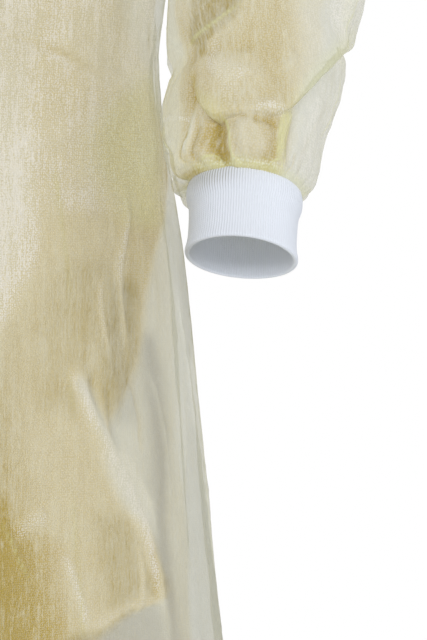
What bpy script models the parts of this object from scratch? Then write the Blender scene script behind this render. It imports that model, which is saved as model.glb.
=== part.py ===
"""Visitor gown: thin nonwoven cloth with knitted cuffs, worn and hollow, closed by ties at the back.

Metres, +Z up. The origin is on the wearer's shoulder line, in the middle of the neck.
+X is the wearer's left, -Y the front. The gown is one surface, worked out by functions from the
tables below, then cut along its seams into the pieces that are sewn together.
"""

import math
from collections import namedtuple

import bmesh
import bpy
import numpy as np

# ---------------------------------------------------------------- driving dimensions
GOWN_LENGTH = 1.16        # neck point to hem
WALL = 0.0015             # cloth wall, measured along the smooth form's normal
KNIT_WALL = 0.0022        # the cuff is knit folded double
SEAM_GAP = 0.0003         # between two pieces at a seam
MITRE_LIMIT = 1.8         # the most that a wall's corner is lengthened at a sharp seam
UNDERARM = -0.225         # height of the underarm point
NECK_POINT = np.array([0.076, 0.012, 0.0])       # where shoulder seam and neckline meet
SHOULDER_POINT = np.array([0.190, 0.006, -0.046])  # where shoulder seam and armhole meet
NECK_SHARE = 0.36         # share of each panel's half width that ends on the neckline
NECK_FRONT = np.array([0.0, -0.070, -0.082])     # lowest point of the front neckline
NECK_BACK = np.array([0.0, 0.060, -0.014])       # lowest point of the back neckline
NECK_DIP_POWER = 1.35     # over 1, so that the neckline runs level over the shoulder seam
BINDING_HEIGHT = 0.012
BINDING_WALL = 0.0022     # the strip is folded over the neck edge
BINDING_LEAN = 0.60       # towards the neck, for each unit up
LAP_DEPTH = 0.0045        # how far the under back panel lies inside the over one
LAP_FROM, LAP_TO = 0.28, 0.56   # shares of the half width between which it comes out again
UNDER_SIDE = 1            # the wearer's left back panel lies under the right one
LAP_FADES_FROM = 0.86     # share of the way up to the neck where the lap's depth starts to fade

# Above the underarm each line of the cloth is a curve to the top edge. It leaves the underarm's ring
# and arrives at the top edge along these vectors: across (out to the side), away from the body's
# middle, and up. The lines change over from centre to edge, and from neck to shoulder, between shares.
LEAVE_CENTRE = (0.0, 0.015, 0.20)
LEAVE_EDGE = (-0.050, 0.31, 0.015)
ARRIVE_NECK = (0.0, -0.055, 0.09)
ARRIVE_SHOULDER = (0.01, -0.23, 0.075)
ARRIVE_EDGE = (0.09, -0.29, 0.11)
EDGE_FROM = 0.55                              # share of the half width
SHOULDER_FROM, SHOULDER_TO = 0.5 * NECK_SHARE, 1.2 * NECK_SHARE

# The body's cross-sections below the underarm: half width, and depth before and behind X.
BodySection = namedtuple("BodySection", "height half_width front back")
BODY_SECTIONS = (
    BodySection(-1.160, 0.2640, 0.194, 0.188),   # hem
    BodySection(-0.980, 0.2495, 0.180, 0.174),
    BodySection(-0.835, 0.2365, 0.167, 0.162),
    BodySection(-0.715, 0.2245, 0.156, 0.151),
    BodySection(-0.640, 0.2165, 0.148, 0.142),
    BodySection(-0.590, 0.2085, 0.142, 0.136),
    BodySection(-0.545, 0.2040, 0.137, 0.130),
    BodySection(-0.500, 0.2085, 0.132, 0.124),
    BodySection(-0.425, 0.1980, 0.126, 0.110),   # waist, drawn in behind by its ties
    BodySection(-0.330, 0.1850, 0.126, 0.110),
    BodySection(-0.225, 0.1690, 0.122, 0.112),   # underarm
)

# How far each back panel runs past the centre back, by height.
LapSection = namedtuple("LapSection", "height past_centre")
LAP_SECTIONS = (
    LapSection(-1.160, 0.085),
    LapSection(-0.425, 0.075),
    LapSection(-0.225, 0.040),
    LapSection(-0.080, 0.006),
    LapSection(-0.014, -0.0086),
)

# Drape folds: a ridge (or a trough, if its depth is negative) that runs down the cloth.
# Angles go round the body from centre front, towards the wearer's left, in degrees.
Fold = namedtuple("Fold", "angle lean width depth top bottom")
FOLD_FADE_TOP, FOLD_FADE_BOTTOM = 0.45, 0.40   # shares of a fold's length over which it fades out
BODY_FOLDS = (
    # the side that the photograph shows, from the hip down
    Fold(72.0, 6.0, 6.0, 0.0050, -0.450, -0.660),
    Fold(60.0, 34.0, 5.0, 0.0050, -0.640, -1.160),
    Fold(76.0, 12.0, 4.0, 0.0050, -0.660, -1.160),
    Fold(85.0, 3.0, 3.5, -0.0045, -0.600, -1.160),
    Fold(48.0, 16.0, 6.0, 0.0060, -0.740, -1.160),
    Fold(66.0, 8.0, 3.5, -0.0050, -0.680, -1.000),
    # the front
    Fold(27.0, 8.0, 9.0, 0.0110, -0.560, -1.160),
    Fold(9.0, 3.0, 7.0, -0.0090, -0.620, -1.160),
    Fold(-9.0, -4.0, 9.0, 0.0120, -0.500, -1.160),
    Fold(-29.0, -6.0, 8.0, -0.0090, -0.600, -1.160),
    Fold(-46.0, -9.0, 9.0, 0.0110, -0.540, -1.160),
    Fold(-64.0, -8.0, 7.0, -0.0070, -0.560, -1.160),
    Fold(-78.0, -6.0, 7.0, 0.0080, -0.500, -1.160),
    # the chest, between the arms
    Fold(-60.0, -60.0, 8.0, 0.0060, -0.225, -0.520),
    Fold(58.0, 50.0, 8.0, 0.0060, -0.225, -0.480),
    # gathers that the waist ties draw in, round the back
    Fold(103.0, 2.0, 6.0, -0.0060, -0.480, -1.160),
    Fold(112.0, 4.0, 6.0, 0.0080, -0.330, -0.900),
    Fold(129.0, -4.0, 7.0, 0.0090, -0.350, -1.160),
    Fold(145.0, 2.0, 8.0, 0.0090, -0.340, -1.160),
    Fold(172.0, 2.0, 12.0, -0.0060, -0.480, -1.160),
    Fold(-101.0, -2.0, 6.0, -0.0060, -0.480, -1.160),
    Fold(-113.0, -4.0, 6.0, 0.0080, -0.340, -1.000),
    Fold(-131.0, 4.0, 7.0, 0.0090, -0.350, -1.160),
    Fold(-147.0, -2.0, 8.0, 0.0090, -0.330, -1.160),
)

# The arm's path in the sleeve, for the left arm: the forearm leans towards the front.
ARM_SHOULDER = np.array([0.1790, 0.000, -0.0850])
ARM_ELBOW = np.array([0.2595, -0.008, -0.3995])
ARM_CUFF = np.array([0.2470, -0.1184, -0.6157])
FOREARM = float(np.linalg.norm(ARM_ELBOW - ARM_CUFF))
ELBOW_ROUND = 0.040       # half length of the rounded bend
WRIST_TWIST = math.radians(14.0)   # the thumb's side of the wrist is turned forward
TWIST_FROM, TWIST_TO = 0.09, 0.01  # above the cuff seam, where the turn starts and is whole
FRAME_STEP = 0.002        # along the arm, to find its direction

# The sleeve's rings, by distance along the arm above the cuff seam. Reaches from the arm's path:
# outer is away from the body, inner towards it.
SleeveSection = namedtuple("SleeveSection", "along outer front inner back")
SLEEVE_SECTIONS = (
    SleeveSection(0.0000, 0.0268, 0.0214, 0.0268, 0.0214),   # seam with the cuff
    SleeveSection(0.0045, 0.0310, 0.0252, 0.0365, 0.0310),
    SleeveSection(0.0170, 0.0345, 0.0312, 0.0405, 0.0400),
    SleeveSection(0.0300, 0.0366, 0.0342, 0.0420, 0.0440),
    SleeveSection(0.0430, 0.0402, 0.0354, 0.0422, 0.0465),
    SleeveSection(0.0530, 0.0430, 0.0360, 0.0400, 0.0480),
    SleeveSection(0.0610, 0.0448, 0.0364, 0.0380, 0.0485),   # the inner outline's notch
    SleeveSection(0.0730, 0.0452, 0.0372, 0.0415, 0.0480),
    SleeveSection(0.0830, 0.0432, 0.0378, 0.0426, 0.0480),   # the outer outline's notch
    SleeveSection(0.0930, 0.0472, 0.0388, 0.0428, 0.0480),
    SleeveSection(0.1120, 0.0530, 0.0400, 0.0426, 0.0490),
    SleeveSection(0.1575, 0.0550, 0.0420, 0.0430, 0.0520),
    SleeveSection(0.2025, 0.0540, 0.0450, 0.0480, 0.0560),
    SleeveSection(0.2430, 0.0530, 0.0470, 0.0550, 0.0580),   # elbow
    SleeveSection(0.2925, 0.0540, 0.0520, 0.0540, 0.0580),
    SleeveSection(0.3275, 0.0550, 0.0570, 0.0490, 0.0600),
)
SLEEVE_JOIN = 0.3275      # above this, each line of the sleeve bends over to the armhole
SLEEVE_TOP = 0.5275       # the armhole's seam, on the same scale
# How the sleeve's lines arrive at the armhole: inwards and up, for the arm's front and back lines,
# and what the lines on its outer side and under the arm add.
ARRIVE_ARMHOLE = (-0.75, 0.60)
OVER_ARM, UNDER_ARM = (-0.25, -0.05), (-0.20, -0.35)

# The blouse of cloth that hangs over the cuff seam, lowest at the inner back.
DROOP = 0.0150
DROOP_ANGLE = 205.0
DROOP_STARTS = 0.006      # above the cuff seam, where the droop is whole
DROOP_FROM, DROOP_TO = 0.012, 0.045   # above the seam, between which it fades out
GATHERS = 20              # round each cuff seam
GATHER_DEPTH = 0.0013
GATHER_FROM = 0.010       # above the cuff seam, where they start to fade
GATHER_REACH = 0.042      # and where they have gone
GATHER_MEAN, GATHER_SPREAD = 0.75, 0.35   # depth of the mean gather, and how it varies, as shares

# Sleeve folds: angles go round the arm from its outer side, over the front, in degrees.
SleeveFold = namedtuple("SleeveFold", "angle lean width depth high low")
SLEEVE_FADE_LOW, SLEEVE_FADE_HIGH = 0.30, 0.45   # shares of a fold's length over which it fades out
LEFT_SLEEVE_FOLDS = (
    SleeveFold(116.0, 150.0, 9.0, -0.0080, 0.0560, 0.0020),   # the deep pleat into the cuff
    SleeveFold(98.0, 60.0, 8.0, 0.0035, 0.0500, 0.0020),
    SleeveFold(136.0, -120.0, 8.0, 0.0045, 0.0600, 0.0020),
    SleeveFold(152.0, 80.0, 7.0, -0.0040, 0.0700, 0.0040),
    SleeveFold(62.0, -40.0, 9.0, -0.0025, 0.0420, 0.0020),
    SleeveFold(30.0, 60.0, 9.0, 0.0030, 0.0560, 0.0060),
    SleeveFold(130.0, 420.0, 14.0, 0.0035, 0.1300, 0.0650),
    SleeveFold(230.0, 60.0, 12.0, -0.0060, 0.0900, 0.0040),
    SleeveFold(285.0, -60.0, 12.0, -0.0060, 0.0800, 0.0040),
    # creases at the bend of the elbow, and one down the back of the arm
    SleeveFold(70.0, 420.0, 20.0, -0.0080, 0.2900, 0.1900),
    SleeveFold(140.0, -300.0, 18.0, 0.0070, 0.3100, 0.2000),
    SleeveFold(300.0, 160.0, 18.0, 0.0070, 0.3200, 0.1200),
)
RIGHT_SLEEVE_FOLDS = (
    SleeveFold(80.0, 110.0, 9.0, -0.0070, 0.0600, 0.0020),
    SleeveFold(60.0, 60.0, 8.0, 0.0035, 0.0500, 0.0020),
    SleeveFold(128.0, -90.0, 9.0, -0.0045, 0.0700, 0.0020),
    SleeveFold(150.0, 60.0, 8.0, 0.0040, 0.0600, 0.0040),
    SleeveFold(110.0, 360.0, 14.0, 0.0035, 0.1350, 0.0600),
    SleeveFold(215.0, 60.0, 12.0, -0.0060, 0.0900, 0.0040),
    SleeveFold(300.0, -50.0, 12.0, -0.0060, 0.0900, 0.0040),
    SleeveFold(80.0, 360.0, 20.0, -0.0080, 0.2800, 0.1800),
    SleeveFold(150.0, -260.0, 18.0, 0.0070, 0.3150, 0.2100),
    SleeveFold(285.0, 120.0, 18.0, 0.0070, 0.3100, 0.1100),
)
# The upper puff hangs over the lower one along a line that falls from the outer side to the front.
LipPoint = namedtuple("LipPoint", "angle along depth")
LEFT_SLEEVE_LIP = (
    LipPoint(-70.0, 0.0930, 0.0000),
    LipPoint(-20.0, 0.0880, 0.0040),
    LipPoint(12.0, 0.0780, 0.0060),
    LipPoint(45.0, 0.0540, 0.0055),
    LipPoint(75.0, 0.0340, 0.0050),
    LipPoint(105.0, 0.0290, 0.0035),
    LipPoint(140.0, 0.0400, 0.0000),
)
RIGHT_SLEEVE_LIP = (
    LipPoint(-70.0, 0.0780, 0.0000),
    LipPoint(-20.0, 0.0760, 0.0045),
    LipPoint(20.0, 0.0640, 0.0060),
    LipPoint(60.0, 0.0560, 0.0050),
    LipPoint(100.0, 0.0600, 0.0045),
    LipPoint(130.0, 0.0700, 0.0000),
)
LIP_ABOVE = 0.022         # the overhang fades out this far above its line
LIP_BELOW = 0.006         # and this far below it
LIP_HOLLOW = 0.5          # how deep it is tucked in below the line, as a share of its depth

# The cuff's profile from its seam down to its fold, as shares of the seam ring's reach.
CuffRing = namedtuple("CuffRing", "below share")
CUFF_RINGS = (
    CuffRing(0.0000, 1.000),
    CuffRing(0.0035, 1.035),
    CuffRing(0.0080, 1.030),   # the ridge over the seam's turned-in edges
    CuffRing(0.0125, 0.975),
    CuffRing(0.0260, 0.965),
    CuffRing(0.0340, 1.005),   # the folded edge stands out a little
    CuffRing(0.0362, 0.985),
)

WAIST_TIE_WIDTH = 0.026
WAIST_TIE_HEIGHT = -0.425
WAIST_KNOT = np.array([0.036, 0.014, 0.030])
WAIST_KNOT_CLEAR = 0.0018  # behind the panel, which is a little hollow under the knot
WAIST_TAIL_LENGTH = 0.330
TAIL_ROWS = 14
TAIL_OPENS = 0.070        # the tie is folded to half its width in the knot, and open this far below
TAIL_OFF_MIDDLE, TAIL_SPREAD = 0.009, 0.008   # its middle's distance from the centre back
TAIL_LEAN = 0.085         # and how much that grows for each metre down
TAIL_WAVE, TAIL_WAVE_TURN = 0.0025, 45.0      # it stands off the panel in slow waves
NECK_TIE_WIDTH = 0.009
NECK_KNOT = np.array([0.0190, 0.009, 0.013])
NECK_END_TOP, NECK_END_BOTTOM = 0.93, 0.06   # shares of the way from the underarm line to the neck
NECK_END_ROWS = 9
NECK_END_OFF, NECK_END_LEAN = 0.0165, 0.050   # shares of the half width: off the middle, and its growth
NECK_END_HALF_PANEL = 0.30                    # width of panel that one share of the half width spans
KNOT_SINK = 0.003         # how far the neck knot is set into the neckline's hollow
KNOT_ROUND = 0.32         # its edges' rounding, as a share of its least side
TIE_WALL = 0.0012
TIE_CLEAR = 0.0008        # between a tie and the panel that it lies on

SHARP_FROM = 50.0         # degrees between faces, over which the wall's edges are drawn sharp

# Colours and finishes, linear.
CLOTH_COLOUR = (0.74, 0.68, 0.40, 1.0)
BINDING_COLOUR = (0.76, 0.69, 0.38, 1.0)
KNIT_COLOUR = (0.82, 0.85, 0.90, 1.0)
CLOTH_ROUGHNESS, KNIT_ROUGHNESS = 0.75, 0.90

# Where the grids have their columns and rows. They are closer together on the side that is shown.
SIDE_COLUMNS = {1: 10, -1: 8}     # from the neck point's line to the side seam
FRONT_NECK_COLUMNS = 9
BACK_NECK_COLUMNS = 6             # from the neck point's line past the centre back
LOWER_ROWS = (-1.160, -1.070, -0.980, -0.900, -0.835, -0.780, -0.730, -0.685, -0.640, -0.600,
              -0.560, -0.520, -0.480, -0.438, -0.412, -0.360, -0.290, UNDERARM)
UPPER_ROWS = np.linspace(0.0, 1.0, 11)[1:]
ARMHOLE_POINTS = 2 * len(UPPER_ROWS)
# Rows of the sleeve, by distance above the cuff seam, and how many points each has for each of
# the armhole's: more of them where the gathers are.
SleeveRow = namedtuple("SleeveRow", "along split")
SLEEVE_ROWS = tuple(SleeveRow(along, split) for split, alongs in (
    (1, (SLEEVE_TOP, 0.4975, 0.4575, 0.4125, 0.3675, SLEEVE_JOIN, 0.2850, 0.2430, 0.2075, 0.1725,
         0.1425, 0.1180)),
    (2, (0.1000, 0.0900, 0.0820, 0.0720, 0.0600)),
    (4, (0.0470, 0.0340, 0.0210, 0.0090, 0.0)),
) for along in alongs)
CUFF_SPLIT = 2


# ---------------------------------------------------------------- arithmetic of smooth tables
def column(rows, name):
    return np.array([getattr(row, name) for row in rows], float)


def smooth(rows, key, name, at):
    """The named column at key=at, by cubic pieces whose slopes are those of the neighbouring rows."""
    x, y = column(rows, key), column(rows, name)
    if x[0] > x[-1]:
        x, y = x[::-1], y[::-1]
    slope = np.gradient(y, x)
    at = np.clip(np.asarray(at, float), x[0], x[-1])
    i = np.clip(np.searchsorted(x, at, side="right") - 1, 0, len(x) - 2)
    span = x[i + 1] - x[i]
    t = (at - x[i]) / span
    return ((1 + 2 * t) * (1 - t) ** 2 * y[i] + t * (1 - t) ** 2 * span * slope[i]
            + t * t * (3 - 2 * t) * y[i + 1] - t * t * (1 - t) * span * slope[i + 1])


def ease(low, high, at):
    """0 below low, 1 above high, and an S-curve between."""
    t = np.clip((np.asarray(at, float) - low) / (high - low), 0.0, 1.0)
    return t * t * (3 - 2 * t)


def hermite(start, end, leave, arrive, t):
    """A curve from start to end that leaves and arrives along the given vectors."""
    t = np.asarray(t, float)[..., None]
    return ((1 + 2 * t) * (1 - t) ** 2 * start + t * (1 - t) ** 2 * leave
            + t * t * (3 - 2 * t) * end - t * t * (1 - t) * arrive)


def unit(vectors):
    return vectors / np.maximum(np.linalg.norm(vectors, axis=-1, keepdims=True), 1e-12)


def on_side(side, points):
    """Points of the wearer's left side, mirrored if side is -1."""
    return points * np.array([side, 1.0, 1.0])


# ---------------------------------------------------------------- the body of the gown
def body_ring(face, u, height):
    """A point of the level ring at a height: u is 0 at the centre, and +-1 at the side seams."""
    angle = 0.5 * math.pi * u
    half_width = smooth(BODY_SECTIONS, "height", "half_width", height)
    depth = smooth(BODY_SECTIONS, "height", "front" if face == "front" else "back", height)
    toward = -1.0 if face == "front" else 1.0
    return np.stack(np.broadcast_arrays(half_width * np.sin(angle),
                                        toward * depth * np.cos(angle),
                                        np.asarray(height, float)), axis=-1)


def top_edge(face, u):
    """The panel's top edge: the neckline within NECK_SHARE of the centre, then the shoulder seam."""
    low_point = NECK_FRONT if face == "front" else NECK_BACK
    side = np.sign(u)
    size = np.abs(u)
    round_neck = 0.5 * math.pi * np.clip(size / NECK_SHARE, 0, 1)
    dip = np.abs(np.cos(round_neck)) ** NECK_DIP_POWER
    neck = np.stack([NECK_POINT[0] * np.sin(round_neck),
                     NECK_POINT[1] + (low_point[1] - NECK_POINT[1]) * np.cos(round_neck),
                     NECK_POINT[2] + (low_point[2] - NECK_POINT[2]) * dip], axis=-1)
    along = np.clip((size - NECK_SHARE) / (1 - NECK_SHARE), 0, 1)[..., None]
    shoulder = NECK_POINT + (SHOULDER_POINT - NECK_POINT) * along
    point = np.where((size < NECK_SHARE)[..., None], neck, shoulder)
    return point * np.stack([np.where(side < 0, -1.0, 1.0), np.ones_like(u), np.ones_like(u)], -1)


def upper_body(face, u, v):
    """Above the underarm each line of the cloth bends from the level ring to the top edge."""
    toward = -1.0 if face == "front" else 1.0
    side = np.where(u < 0, -1.0, 1.0)
    near_edge = ease(EDGE_FROM, 1.0, np.abs(u))[..., None]
    on_shoulder = ease(SHOULDER_FROM, SHOULDER_TO, np.abs(u))[..., None]
    turned = np.stack([side, np.full_like(side, toward), np.ones_like(side)], -1)
    leave_centre, leave_edge, arrive_neck, arrive_shoulder, arrive_edge = (
        np.array(vector) * turned
        for vector in (LEAVE_CENTRE, LEAVE_EDGE, ARRIVE_NECK, ARRIVE_SHOULDER, ARRIVE_EDGE))
    leave = leave_centre + (leave_edge - leave_centre) * near_edge
    arrive = arrive_neck + (arrive_shoulder - arrive_neck) * on_shoulder
    arrive = arrive + (arrive_edge - arrive) * near_edge
    return hermite(body_ring(face, u, UNDERARM), top_edge(face, u), leave, arrive, v)


def fold_relief(angle, height):
    """How far the drape folds move the cloth outwards: each is a bell across, faded at its ends."""
    total = np.zeros(np.broadcast(angle, height).shape)
    hem = -GOWN_LENGTH
    for fold in BODY_FOLDS:
        centre = fold.angle + fold.lean * (fold.top - height)
        across = (angle - centre + 180.0) % 360.0 - 180.0
        length = fold.top - fold.bottom
        along = ease(0.0, FOLD_FADE_TOP * length, fold.top - height)
        if fold.bottom > hem:
            along = along * ease(0.0, FOLD_FADE_BOTTOM * length, height - fold.bottom)
        total = total + fold.depth * np.exp(-((across / fold.width) ** 2)) * along
    return total


def body_rows(face, columns):
    """(smooth rows, folded rows) of a panel, from the hem to the top edge. columns(row) gives u."""
    plain, folded = [], []
    for row, height in enumerate(LOWER_ROWS):
        u = columns[row]
        points = body_ring(face, u, height)
        angle = 90.0 * u if face == "front" else 180.0 - 90.0 * u
        outward = unit(points * np.array([1.0, 1.0, 0.0]))
        plain.append(points)
        folded.append(points + outward * fold_relief(angle, height)[:, None])
    for row, share in enumerate(UPPER_ROWS, start=len(LOWER_ROWS)):
        points = upper_body(face, columns[row], share)
        plain.append(points)
        folded.append(points)
    return plain, folded


def front_columns():
    neck = np.linspace(-NECK_SHARE, NECK_SHARE, FRONT_NECK_COLUMNS)[1:-1]
    right = -np.linspace(NECK_SHARE, 1.0, SIDE_COLUMNS[-1])[::-1]
    left = np.linspace(NECK_SHARE, 1.0, SIDE_COLUMNS[1])
    return [np.concatenate([right, neck, left])] * (len(LOWER_ROWS) + len(UPPER_ROWS))


def back_columns(side):
    """u of each row of a back panel, from its side seam past the centre to its own edge."""
    heights = np.concatenate([LOWER_ROWS, UNDERARM + (NECK_BACK[2] - UNDERARM) * UPPER_ROWS])
    half_width = smooth(BODY_SECTIONS, "height", "half_width", heights)
    edges = -np.arcsin(smooth(LAP_SECTIONS, "height", "past_centre", heights) / half_width) / (0.5 * math.pi)
    outer = np.linspace(1.0, NECK_SHARE, SIDE_COLUMNS[side])
    share = np.linspace(0.0, 1.0, BACK_NECK_COLUMNS)[1:]
    return [side * np.concatenate([outer, NECK_SHARE + (edge - NECK_SHARE) * share]) for edge in edges]


def lap_shift(side, columns):
    """How far each point of the under back panel lies inside the smooth form."""
    if side != UNDER_SIDE:
        return [np.zeros_like(u) for u in columns]
    fades = np.concatenate([np.ones(len(LOWER_ROWS)), 1.0 - ease(LAP_FADES_FROM, 1.0, UPPER_ROWS)])
    return [-LAP_DEPTH * fade * (1.0 - ease(LAP_FROM, LAP_TO, np.abs(u))) for u, fade in zip(columns, fades)]


# ---------------------------------------------------------------- the sleeves
def arm_path(along):
    """The arm's line, straight from cuff to elbow and from elbow to shoulder."""
    along = np.asarray(along, float)[..., None]
    forearm = unit(ARM_ELBOW - ARM_CUFF)
    upper_arm = unit(ARM_SHOULDER - ARM_ELBOW)
    return np.where(along < FOREARM, ARM_CUFF + forearm * along,
                    ARM_ELBOW + upper_arm * (along - FOREARM))


def arm_centre(along):
    """The arm's line with its elbow rounded: the mean of the straight line over a short stretch."""
    along = np.asarray(along, float)
    return 0.25 * (arm_path(along - ELBOW_ROUND) + 2 * arm_path(along) + arm_path(along + ELBOW_ROUND))


def arm_frame(along):
    """Unit vectors at a point of the arm: outwards from the body, and to the front."""
    along = np.asarray(along, float)
    up = unit(arm_centre(along + FRAME_STEP) - arm_centre(along - FRAME_STEP))
    side = np.array([1.0, 0.0, 0.0])
    side = unit(side - up * (up @ side)[..., None])
    front = np.cross(side, up)
    twist = (WRIST_TWIST * (1 - ease(TWIST_TO, TWIST_FROM, along)))[..., None]
    return (side * np.cos(twist) - front * np.sin(twist),
            front * np.cos(twist) + side * np.sin(twist), up)


def lip_relief(lip, angle, along):
    """The upper puff's overhang: out above the lip's line, in just below it."""
    behind = 180.0 - 0.5 * (lip[0].angle + lip[-1].angle)
    folded_angle = (angle + behind) % 360.0 - behind
    line = smooth(lip, "angle", "along", folded_angle)
    depth = np.where((folded_angle > lip[0].angle) & (folded_angle < lip[-1].angle),
                     smooth(lip, "angle", "depth", folded_angle), 0.0)
    above = along - line
    out = np.exp(-np.clip(above, 0, None) / LIP_ABOVE) * ease(-0.3 * LIP_BELOW, LIP_BELOW, above)
    inward = np.exp(-((above + LIP_BELOW) / LIP_BELOW) ** 2)
    return depth * (out - LIP_HOLLOW * inward)


def gather_relief(angle, along):
    """Puckers at the cuff seam, uneven round the sleeve, flat in the seam itself."""
    fade = (1.0 - ease(GATHER_FROM, GATHER_REACH, along)) * ease(0.0, DROOP_STARTS, along)
    turn = np.radians(angle)
    uneven = GATHER_MEAN + GATHER_SPREAD * np.sin(3 * turn + 0.7) * np.cos(5 * turn)
    return GATHER_DEPTH * uneven * np.cos(np.radians(GATHERS * angle)) * fade


def sleeve_folds(folds, angle, along):
    """The hand-placed folds as an outward move."""
    total = np.zeros(np.broadcast(angle, along).shape)
    for fold in folds:
        centre = fold.angle + fold.lean * (along - fold.low)
        across = (angle - centre + 180.0) % 360.0 - 180.0
        length = fold.high - fold.low
        window = (ease(0.0, SLEEVE_FADE_LOW * length, along - fold.low)
                  * ease(0.0, SLEEVE_FADE_HIGH * length, fold.high - along))
        total = total + fold.depth * np.exp(-((across / fold.width) ** 2)) * window
    return total


def sleeve_ring(along, angle, relief=0.0):
    """A ring round the arm. angle is in degrees, from the outer side over the front."""
    turn = np.radians(angle)
    along = np.full_like(turn, along)
    reach = {name: smooth(SLEEVE_SECTIONS, "along", name, along)
             for name in ("outer", "front", "inner", "back")}
    wide = np.where(np.cos(turn) > 0, reach["outer"], reach["inner"]) + relief
    deep = np.where(np.sin(turn) > 0, reach["front"], reach["back"]) + relief
    side, front, up = arm_frame(along)
    hang = DROOP * np.clip(np.cos(np.radians(angle - DROOP_ANGLE)), 0, 1) ** 2
    hang = hang * ease(0.0, DROOP_STARTS, along) * (1 - ease(DROOP_FROM, DROOP_TO, along))
    return (arm_centre(along) + side * (wide * np.cos(turn))[:, None]
            + front * (deep * np.sin(turn))[:, None] - up * hang[:, None])


def sleeve_line(armhole, along, angle, relief=0.0):
    """A row of the sleeve: a ring below SLEEVE_JOIN, and above it a bend over to the armhole."""
    if along <= SLEEVE_JOIN:
        return sleeve_ring(along, angle, relief)
    start = sleeve_ring(SLEEVE_JOIN, angle)
    upward = unit(start - sleeve_ring(SLEEVE_JOIN - 0.01, angle))
    reach = np.linalg.norm(armhole - start, axis=1)[:, None]
    over = np.clip(np.cos(np.radians(angle)), 0, 1)
    under = np.clip(-np.cos(np.radians(angle)), 0, 1)
    across, up = (plain + of_over * over + of_under * under
                  for plain, of_over, of_under in zip(ARRIVE_ARMHOLE, OVER_ARM, UNDER_ARM))
    inward = unit(np.stack([across, np.zeros_like(across), up], axis=1))
    share = (along - SLEEVE_JOIN) / (SLEEVE_TOP - SLEEVE_JOIN)
    return hermite(start, armhole, upward * reach, inward * reach, share)


def armhole_loop(front, back):
    """The armhole's points from the shoulder point down the front edge and up the back edge."""
    underarm = len(LOWER_ROWS) - 1
    down = [row[-1] for row in front[underarm:][::-1]]
    up = [row[0] for row in back[underarm:]]
    return np.array(down + up[1:-1])


# ---------------------------------------------------------------- turning rows into cloth walls
# A sheet of cloth: rows of points of its smooth form, of its outside and of its inside before the
# wall is taken off, the outward shift of each point, and its triangles, facing outwards.
Sheet = namedtuple("Sheet", "name wall plain outside inside shift faces")


def row_faces(rows, closed, outward):
    """Triangles between rows of points. A row has as many points as the one before, and then each
    four corners are split along their shorter diagonal, or twice as many."""
    points = np.concatenate(rows)
    faces, start = [], 0
    for here, below in zip(map(len, rows), map(len, rows[1:])):
        after = start + here
        for j in range(here if closed else here - 1):
            a, b = start + j, start + (j + 1) % here
            if below == here:
                c, d = after + j, after + (j + 1) % here
                falling = np.linalg.norm(points[a] - points[d]) < np.linalg.norm(points[b] - points[c])
                faces += [(a, c, d), (a, d, b)] if falling else [(a, c, b), (b, c, d)]
            else:
                c, m, d = (after + (2 * j + k) % below for k in range(3))
                faces += [(a, c, m), (a, m, b), (b, m, d)]
        start = after
    return np.array(faces)[:, ::outward]


def sheet(name, wall, plain, outside, inside=None, shift=None, closed=False, outward=1):
    inside = outside if inside is None else inside
    shift = [np.zeros(len(row)) for row in plain] if shift is None else shift
    faces = row_faces(plain, closed, outward)
    return Sheet(name, wall, *(np.concatenate(rows) for rows in (plain, outside, inside, shift)), faces)


def trimmed(rows, first=False, last=False, start=False, end=False):
    """Rows whose named borders are drawn back by half the seam gap: first and last row, start and
    end of every row."""
    rows = [row.copy() for row in rows]
    half = 0.5 * SEAM_GAP

    def draw_back(border, neighbour):
        return border + unit(neighbour - border) * half

    moved = [row.copy() for row in rows]
    if first:
        moved[0] += draw_back(rows[0], rows[1][:: len(rows[1]) // len(rows[0])]) - rows[0]
    if last:
        moved[-1] += draw_back(rows[-1], rows[-2]) - rows[-1]
    for row, out in zip(rows, moved):
        if start:
            out[0] += draw_back(row[0], row[1]) - row[0]
        if end:
            out[-1] += draw_back(row[-1], row[-2]) - row[-1]
    return moved


def shared_normals(sheets):
    """Each sheet's outward normals on its smooth form. Where sheets meet they share one, which is
    lengthened as a mitre is, so that the wall keeps its thickness."""
    own = []
    for piece in sheets:
        normals = np.zeros_like(piece.plain)
        a, b, c = (piece.plain[piece.faces[:, k]] for k in range(3))
        cross = unit(np.cross(b - a, c - a))
        for k in range(3):
            np.add.at(normals, piece.faces[:, k], cross)
        own.append(unit(normals))
    own = np.concatenate(own)
    places = np.round(np.concatenate([piece.plain for piece in sheets]) * 1e5).astype(int)
    _, place = np.unique(places, axis=0, return_inverse=True)
    place = place.reshape(-1)
    summed = np.zeros((place.max() + 1, 3))
    np.add.at(summed, place, own)
    shared = unit(summed[place])
    mitre = np.clip(np.einsum("ij,ij->i", shared, own), 1.0 / MITRE_LIMIT, 1.0)
    least = np.ones(place.max() + 1)
    np.minimum.at(least, place, mitre)
    ends = np.cumsum([len(piece.plain) for piece in sheets])
    return np.split(shared / least[place][:, None], ends[:-1])


def make_wall(piece, normals, material):
    """The sheet as a closed wall: its outside, its inside facing the other way, and the rims."""
    outside = piece.outside + normals * piece.shift[:, None]
    inside = piece.inside + normals * (piece.shift - piece.wall)[:, None]
    count = len(outside)
    edges = {(int(f[k]), int(f[(k + 1) % 3])) for f in piece.faces for k in range(3)}
    border = [(a, b) for a, b in edges if (b, a) not in edges]
    # Two pieces that meet split each rim's corners alike, by the form that they share.
    inner = piece.plain - normals * piece.wall
    rims = []
    for a, b in sorted(border):
        falling = np.linalg.norm(piece.plain[a] - inner[b]) < np.linalg.norm(piece.plain[b] - inner[a])
        rims += ([(b, a, b + count), (a, a + count, b + count)] if falling
                 else [(b, a, a + count), (b, a + count, b + count)])
    faces = piece.faces.tolist() + (piece.faces[:, ::-1] + count).tolist() + rims
    return make_object(piece.name, np.concatenate([outside, inside]), faces, material)


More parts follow.
